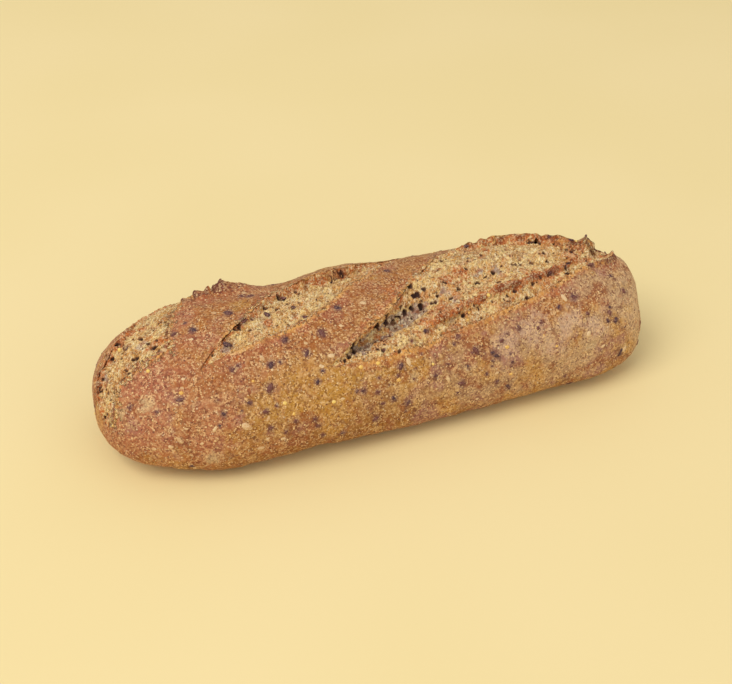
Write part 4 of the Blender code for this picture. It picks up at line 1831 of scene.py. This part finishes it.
CRUST_GRAINS_FOR_ONE_IN_CRUMB = 40
GRAIN_SEED = 4
GRAINS = (
    Grain(
        kind=Kind.FLAX,
        size=(4.0, 2.1, 1.4),
        sunk=0.25,
        count=130,
        finish=GrainFinish("flax", srgb(72, 44, 50), srgb(104, 56, 48), srgb(158, 118, 100), 0.5),
        point=0.35,
        stain=3.3,
        marked=(
            (130, 407, 2.5, 75), (180, 400, 3.5, 15), (157, 412, 2.5, -40), (174, 334, 3.2, 60),
            (193, 330, 4, -30), (242, 296, 3, -50), (250, 296, 4, -20), (228, 313, 4.5, -25),
            (185, 323, 1.5, 0), (233, 370, 2.5, 45), (238, 366, 2, 0), (224, 414, 2.8, -25),
            (220, 426, 1.6, 0), (250, 403, 2.5, -15), (217, 401, 0.8, 0), (242, 411, 1.2, 0),
            (271, 364, 4, 80), (280, 362, 2, 0), (270, 388, 4.5, 70), (277, 406, 1.5, 0),
            (266, 412, 3, -10), (271, 428, 3, 20), (296, 421, 2.2, -50), (286, 432, 2, 70),
            (286, 441, 1, 0), (307, 353, 4.3, 75), (285, 340, 3.5, 60), (322, 333, 4.5, -55),
            (338, 308, 4, -20), (387, 271, 3, -10), (318, 382, 3, 80), (323, 371, 2, 0),
            (315, 419, 2, 0), (318, 426, 2.2, 0), (323, 435, 2.5, -25), (192, 466, 2, 0),
            (132, 453, 0.8, 0), (243, 321, 4.5, 35), (252, 320, 2, 0), (268, 315, 4, -40),
            (228, 345, 5, -15), (283, 298, 3, 0), (294, 308, 3, -30), (304, 317, 3, 0),
            (343, 433, 2.5, 35), (376, 419, 3.5, 40), (364, 391, 3, -10), (357, 391, 2, 70),
            (379, 378, 1.8, 0), (378, 392, 2.5, -40), (390, 384, 1, 0), (383, 404, 2.5, -15),
            (394, 399, 3.5, -40), (408, 403, 4, 75), (406, 411, 1.5, 0), (398, 376, 2, 0),
            (401, 366, 4, 80), (414, 379, 1.6, 0), (436, 376, 3, 0), (416, 369, 1, 0),
            (422, 354, 1, 0), (384, 350, 2, 0), (412, 341, 3, 45), (427, 331, 3.5, 5),
            (458, 337, 2.5, -60), (454, 344, 1.5, 0), (476, 351, 4.5, -50), (473, 353, 1.5, 0),
            (485, 354, 1.2, 0), (493, 353, 3, 0), (497, 356, 3.5, -15), (493, 361, 2, 0),
            (492, 366, 1.5, 0), (487, 374, 2, 80), (468, 366, 2, 70), (448, 364, 1.6, 0),
            (462, 384, 4, -10), (458, 393, 2, 0), (497, 382, 2.5, 70), (508, 387, 3.5, -50),
            (513, 362, 1.8, 0), (511, 354, 1.5, 0), (511, 367, 1.2, 0), (502, 341, 2.5, 20),
            (507, 334, 1.5, 0), (519, 328, 2.5, -60), (519, 346, 1, 0), (538, 328, 2.5, 80),
            (541, 323, 2, 0), (543, 343, 1, 0), (574, 297, 4.2, -15), (559, 307, 2.5, 60),
            (588, 314, 2.5, -30), (608, 321, 3, -45), (616, 320, 3.5, 75), (610, 313, 3, -60),
            (610, 307, 2, 0), (611, 276, 2.5, -50), (624, 291, 3, -60), (620, 353, 5, -80),
            (625, 327, 1.5, 0), (565, 376, 2, 60), (569, 383, 4, 30), (589, 357, 0.7, 0),
            (565, 267, 3.6, 55), (551, 273, 2.4, 20), (466, 246, 3, 25), (549, 237, 3, 10),
            (468, 258, 1.6, 0),
        ),
    ),
    Grain(
        kind=Kind.MILLET,
        size=(1.7, 1.6, 1.4),
        sunk=0.3,
        count=55,
        finish=GrainFinish("millet", srgb(240, 204, 110), srgb(226, 174, 86), srgb(250, 226, 160), 0.4),
        marked=(
            (399, 380, 2, 0), (334, 402, 2, 0), (361, 367, 2.2, 0), (378, 363, 2, 0),
            (433, 364, 1.5, 0), (294, 414, 1.5, 0), (285, 403, 2, 0), (253, 381, 1.5, 0),
            (507, 347, 2.2, 0), (511, 374, 1.8, 0), (544, 335, 1, 0), (557, 346, 1.5, 0),
            (181, 393, 2, 0), (469, 313, 1.5, 0), (468, 320, 1.4, 0), (488, 295, 2.2, 0),
            (119, 350, 2, 0), (148, 371, 1.8, 0),
        ),
    ),
    Grain(
        kind=Kind.FLAKE,
        size=(3.0, 1.9, 0.8),
        sunk=0.18,
        count=75,
        finish=GrainFinish("flake", srgb(220, 186, 140), srgb(202, 160, 112), srgb(236, 208, 166), 0.7),
        marked=(
            (165, 350, 3, 0), (182, 388, 2.2, 0), (177, 405, 1.5, 0), (186, 429, 2, 0),
            (154, 449, 2.5, 0), (171, 447, 2.5, 0), (180, 440, 4, -60), (215, 429, 3, 70),
            (195, 468, 2, 0), (202, 444, 2, 0), (262, 358, 3, -50), (272, 370, 1.5, 0),
            (268, 419, 3, 80), (247, 427, 5, -30), (283, 439, 2.5, 0), (285, 429, 1, 0),
            (268, 439, 2, 0), (261, 448, 3.5, 0), (321, 366, 2, 0), (331, 356, 3.5, 0),
            (343, 399, 2, 0), (387, 396, 1.5, 0), (409, 362, 4, -70), (448, 379, 3.5, -55),
            (477, 399, 2, 0), (497, 373, 2.5, 0), (564, 298, 4, -55), (589, 334, 3.5, 60),
            (603, 346, 2.5, 40), (624, 349, 3.5, 80), (507, 299, 2, 0), (191, 339, 2.6, 0),
            (214, 313, 2.8, 0), (183, 379, 2, 0), (306, 343, 2.2, 0), (322, 367, 2.4, 0),
            (363, 303, 3, 0), (341, 326, 2.2, 0), (244, 293, 3.5, -50), (214, 296, 1.6, 0),
        ),
    ),
)
# Patches of the bread: the pixel where each one's middle is seen, and its radius in millimetres.
PATCHES: Mapping[str, Marks] = {
    "flour": (
        (147, 404, 6), (213, 459, 5.5), (624, 348, 3.8), (121, 414, 4), (413, 377, 4), (590, 345, 5),
    ),
    "ruddy": (
        (150, 385, 15), (180, 375, 11), (158, 352, 7), (185, 312, 8), (188, 341, 7), (240, 358, 7),
        (258, 350, 5), (280, 340, 5), (300, 330, 6), (325, 312, 9), (340, 300, 7), (612, 262, 6),
        (205, 300, 8), (213, 287, 7), (556, 296, 3.5), (470, 356, 5),
    ),
    "golden": (
        (240, 306, 7), (207, 358, 8), (228, 330, 6), (285, 372, 13), (262, 415, 15), (290, 400, 13),
        (245, 440, 13), (350, 372, 12), (385, 365, 12), (330, 395, 12), (610, 368, 9), (365, 277, 8),
        (345, 288, 5), (420, 352, 5),
    ),
    "mauve": (
        (535, 330, 13), (570, 320, 12), (595, 325, 9), (505, 345, 9), (555, 345, 9), (400, 340, 4),
    ),
    "seared": (
        (441, 309, 5), (432, 312, 4), (424, 320, 3.5), (483, 298, 4), (500, 288, 4.5), (516, 287, 5),
        (535, 275, 5), (553, 272, 6), (572, 254, 5), (580, 249, 4), (520, 239, 6), (500, 240, 4),
        (540, 237, 5), (555, 238, 6), (575, 244, 5), (486, 250, 4), (460, 273, 6), (447, 279, 4),
        (397, 300, 6), (390, 292, 5), (380, 308, 4), (368, 324, 4), (355, 340, 3),
        (199, 296, 4), (210, 293, 5), (220, 290, 5), (130, 333, 4), (143, 328, 3.5), (120, 345, 4),
        (98, 373, 4), (98, 385, 3), (107, 357, 3), (95, 395, 4), (160, 340, 4), (152, 349, 3),
        (235, 358, 3), (295, 318, 3), (615, 258, 4), (605, 256, 4), (557, 295, 3),
        (340, 275, 4), (322, 283, 3), (268, 322, 3),
    ),
    # Where the crumb lies in its hollows: grey, partly its own and partly painted shade.
    "grey_and_shade": (
        (385, 335, 6), (365, 350, 5), (395, 325, 6), (373, 343, 5), (350, 357, 3.5), (455, 299, 5),
        (446, 292, 4), (480, 272, 5), (497, 270, 4), (141, 345, 4), (106, 378, 3), (225, 350, 4),
    ),
}


def seen_at(view: View, trees: Sequence[BVHTree], x: float, y: float) -> tuple[Vector, Vector]:
    """What the camera sees at a pixel.

    Args:
        view: The camera.
        trees: The trees of the meshes that may be seen.
        x: The pixel's column.
        y: The pixel's row.

    Returns:
        The point and the way its surface faces, on the nearest of the meshes.
    """
    hits = [tree.ray_cast(view.eye(), view.ray(x, y)) for tree in trees]
    middle, normal, _, _ = min((hit for hit in hits if hit[0]), key=lambda hit: hit[3])
    return middle, normal


@dataclass
class Grains:
    """Grains of one kind, on the crust and sparsely on the crumb.

    Those not marked lie above lowest, on faces no larger than largest_cell that don't look down more
    than undercut. Lumps are a share and a frequency of noise, and uneven is how far a grain's thickness
    varies and rocked how far it is turned about its length, in radians. thinning and stain_power are the
    powers of its scale by which its thickness and its stain grow.
    """

    grain: Grain
    draw: random.Random
    tries: int = 6
    lowest: float = 2.5 * MM
    largest_cell: float = 4 * MM * MM
    undercut: float = -0.3
    lumps: tuple[float, float] = (0.3, 3)
    seed_range: float = 50
    thinning: float = 0.6
    uneven: tuple[float, float] = (0.85, 1.1)
    rocked: float = 0.25
    stain_power: float = 0.7
    least_stain: float = 0.8
    middles: list[tuple[Vector, float]] = field(default_factory=list)

    def build(self, view: View, grounds: Sequence[tuple[bmesh.types.BMesh, int]]) -> bmesh.types.BMesh:
        """Makes the grains as one joined mesh, and keeps where they lie.

        Args:
            view: The camera by which the marked grains are placed.
            grounds: The meshes that carry the grains, with how many each carries by rule.

        Returns:
            A new bmesh.
        """
        mesh = bmesh.new()
        right, up, _ = view.axes()
        trees = [BVHTree.FromBMesh(ground) for ground, _ in grounds]
        for x, y, length, angle in self.grain.marked:
            middle, normal = seen_at(view, trees, x, y)
            tilt = math.radians(angle)
            self.add(mesh, middle, normal, right * math.cos(tilt) + up * math.sin(tilt), length)
        for ground, count in grounds:
            for face in self.spread(ground, count, view.eye()):
                heading = Vector([self.draw.gauss(0, 1) for _ in range(3)])
                length = self.grain.size[0] * self.draw.uniform(*self.grain.scales)
                self.add(mesh, face.calc_center_median(), face.normal, heading, length)
        return mesh

    def spread(self, ground: bmesh.types.BMesh, count: int, eye: Vector) -> list[bmesh.types.BMFace]:
        """Faces spread evenly over the sides that the marks leave bare.

        Args:
            ground: The mesh that carries the grains.
            count: How many faces are chosen, each the one of a few draws furthest from the rest.
            eye: Where the marks are seen from.

        Returns:
            The chosen faces.
        """
        ground.normal_update()
        ground.verts.index_update()
        faces = [face for face in ground.faces if self.shows(face, eye)]
        # Filled holes come in another order from run to run, so the faces are put in one of their own.
        faces.sort(key=lambda face: sorted(vert.index for vert in face.verts))
        areas = [face.calc_area() for face in faces]
        chosen: list[bmesh.types.BMFace] = []
        taken = np.array([middle for middle, _ in self.middles] or [(0, 0, -1)])
        drawn = self.draw.choices(faces, weights=areas, k=self.tries * count)
        for start in range(0, len(drawn), self.tries):
            few = drawn[start : start + self.tries]
            places = np.array([face.calc_center_median() for face in few])
            best = int(np.linalg.norm(places[:, None] - taken[None], axis=2).min(1).argmax())
            chosen.append(few[best])
            taken = np.vstack([taken, places[best]])
        return chosen

    def shows(self, face: bmesh.types.BMFace, eye: Vector) -> bool:
        """Whether a grain may be put on a face by rule.

        Args:
            face: The face.
            eye: Where the marks are seen from.

        Returns:
            True on the outside, above the foot, where the face is turned away from the eye.
        """
        middle = face.calc_center_median()
        if face.normal.dot(eye - middle) > 0 or face.normal.z < self.undercut:
            return False
        return middle.z > self.lowest and face.calc_area() < self.largest_cell

    def add(
        self, mesh: bmesh.types.BMesh, middle: Vector, normal: Vector, heading: Vector, length: float
    ) -> None:
        """Adds one grain, half sunk in the crust.

        Args:
            mesh: The grains so far.
            middle: Where it lies.
            normal: The way the crust faces there.
            heading: The way the grain points, before it is laid flat.
            length: Its length in millimetres.
        """
        grain = self.grain
        seed = Vector([self.draw.uniform(0, self.seed_range) for _ in range(3)])
        share, frequency = self.lumps
        made = bmesh.ops.create_icosphere(mesh, subdivisions=2, radius=0.5)["verts"]
        for vert in made:
            vert.co.yz *= 1 - grain.point * max(vert.co.x, 0) * 2
            vert.co *= 1 + share * noise.noise(vert.co * frequency + seed)
        scale = length / grain.size[0]
        size = Vector(grain.size) * MM
        size.x *= scale
        size.yz *= scale**self.thinning * self.draw.uniform(*self.uneven)
        ahead = (heading - normal * heading.dot(normal)).normalized()
        frame = Matrix((ahead, normal.cross(ahead), normal)).transposed().to_4x4()
        tip = Matrix.Rotation(self.draw.uniform(-self.rocked, self.rocked), 4, "X")
        place = Matrix.Translation(middle - normal * grain.sunk * MM)
        bmesh.ops.scale(mesh, vec=size, verts=made)
        bmesh.ops.transform(mesh, matrix=place @ frame @ tip, verts=made)
        stain = max(grain.stain * scale**self.stain_power, self.least_stain)
        self.middles.append((middle, stain * MM))


@dataclass
class Studio:
    """The floor and the light."""

    floor_size: float = 8.0
    key_place: tuple[float, float, float] = (-1.3, -0.5, 2.0)
    key_size: float = 1.5
    key_power: float = 32.0
    fill_place: tuple[float, float, float] = (1.2, -1.9, 1.1)
    fill_size: float = 2.0
    fill_power: float = 9.0
    lamp: tuple[float, float, float] = (1, 0.985, 0.96)
    room: Colour = (1.0, 0.985, 0.95, 1.0)
    room_strength: float = 0.6

    def build(self) -> None:
        """Sets up the floor, the lights and the room's own light."""
        mesh = bmesh.new()
        bmesh.ops.create_grid(mesh, x_segments=2, y_segments=2, size=self.floor_size / 2)
        place_object("floor", mesh, FloorFinish().make())
        self.add_light("key", self.key_place, self.key_size, self.key_power)
        self.add_light("fill", self.fill_place, self.fill_size, self.fill_power)
        world = bpy.context.scene.world or bpy.data.worlds.new("room")
        bpy.context.scene.world = world
        world.use_nodes = True
        background = world.node_tree.nodes["Background"]
        background.inputs["Color"].default_value = self.room
        background.inputs["Strength"].default_value = self.room_strength
        bpy.context.scene.view_settings.view_transform = "Standard"

    def add_light(self, name: str, place: tuple[float, float, float], size: float, power: float) -> None:
        """Adds a soft square light aimed at the loaf.

        Args:
            name: Its name.
            place: Where it hangs.
            size: Its side.
            power: Its power in watts.
        """
        data = bpy.data.lights.new(name, "AREA")
        data.shape = "SQUARE"
        data.size = size
        data.energy = power
        data.color = self.lamp
        light = bpy.data.objects.new(name, data)
        light.location = place
        light.rotation_euler = Vector(place).to_track_quat("Z", "Y").to_euler()
        bpy.context.scene.collection.objects.link(light)


def ride(piece: bpy.types.Object) -> None:
    """Lets a piece stand for the loaf's solid and move with it."""
    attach(piece, "root")
    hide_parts("loaf")


def main() -> None:
    """Builds the loaf's pieces and the studio."""
    logging.basicConfig(level=logging.INFO, format="%(name)s: %(message)s")
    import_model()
    view = View()
    crust, surface = Crust(Dough()).build()
    crumbs = (
        Crumb(END_SLASH, cells=(260, 150), pores=220, seed=11),
        Crumb(MIDDLE_SLASH, cells=(300, 95), pores=160, seed=12),
        Crumb(BURST_SLASH, cells=(450, 150), pores=420, seed=13, ridge=Ridge(0.18)),
    )
    torn = [crumb.build(surface, view) for crumb in crumbs]
    draw = random.Random(GRAIN_SEED)
    stains: list[tuple[Vector, float]] = []
    for grain in GRAINS:
        grains = Grains(grain, draw)
        few = grain.count // CRUST_GRAINS_FOR_ONE_IN_CRUMB
        mesh = grains.build(view, [(crust, grain.count)] + [(crumb, few) for crumb in torn])
        ride(place_object(grain.kind.value, mesh, grain.finish.make()))
        if grain.stain:
            stains += grains.middles
    bread = BreadFinish().make()
    trees = [BVHTree.FromBMesh(mesh) for mesh in [crust] + torn]
    names = ["crust"] + [f"crumb_{crumb.slash.name}" for crumb in crumbs]
    for name, mesh in zip(names, [crust] + torn):
        store_closeness(mesh, "stain", stains)
        for patch, marks in PATCHES.items():
            spots = [(seen_at(view, trees, x, y)[0], radius * MM) for x, y, radius in marks]
            store_closeness(mesh, patch, spots)
        ride(place_object(name, mesh, bread))
    Studio().build()
    view.add_camera()


if __name__ == "__main__":
    main()
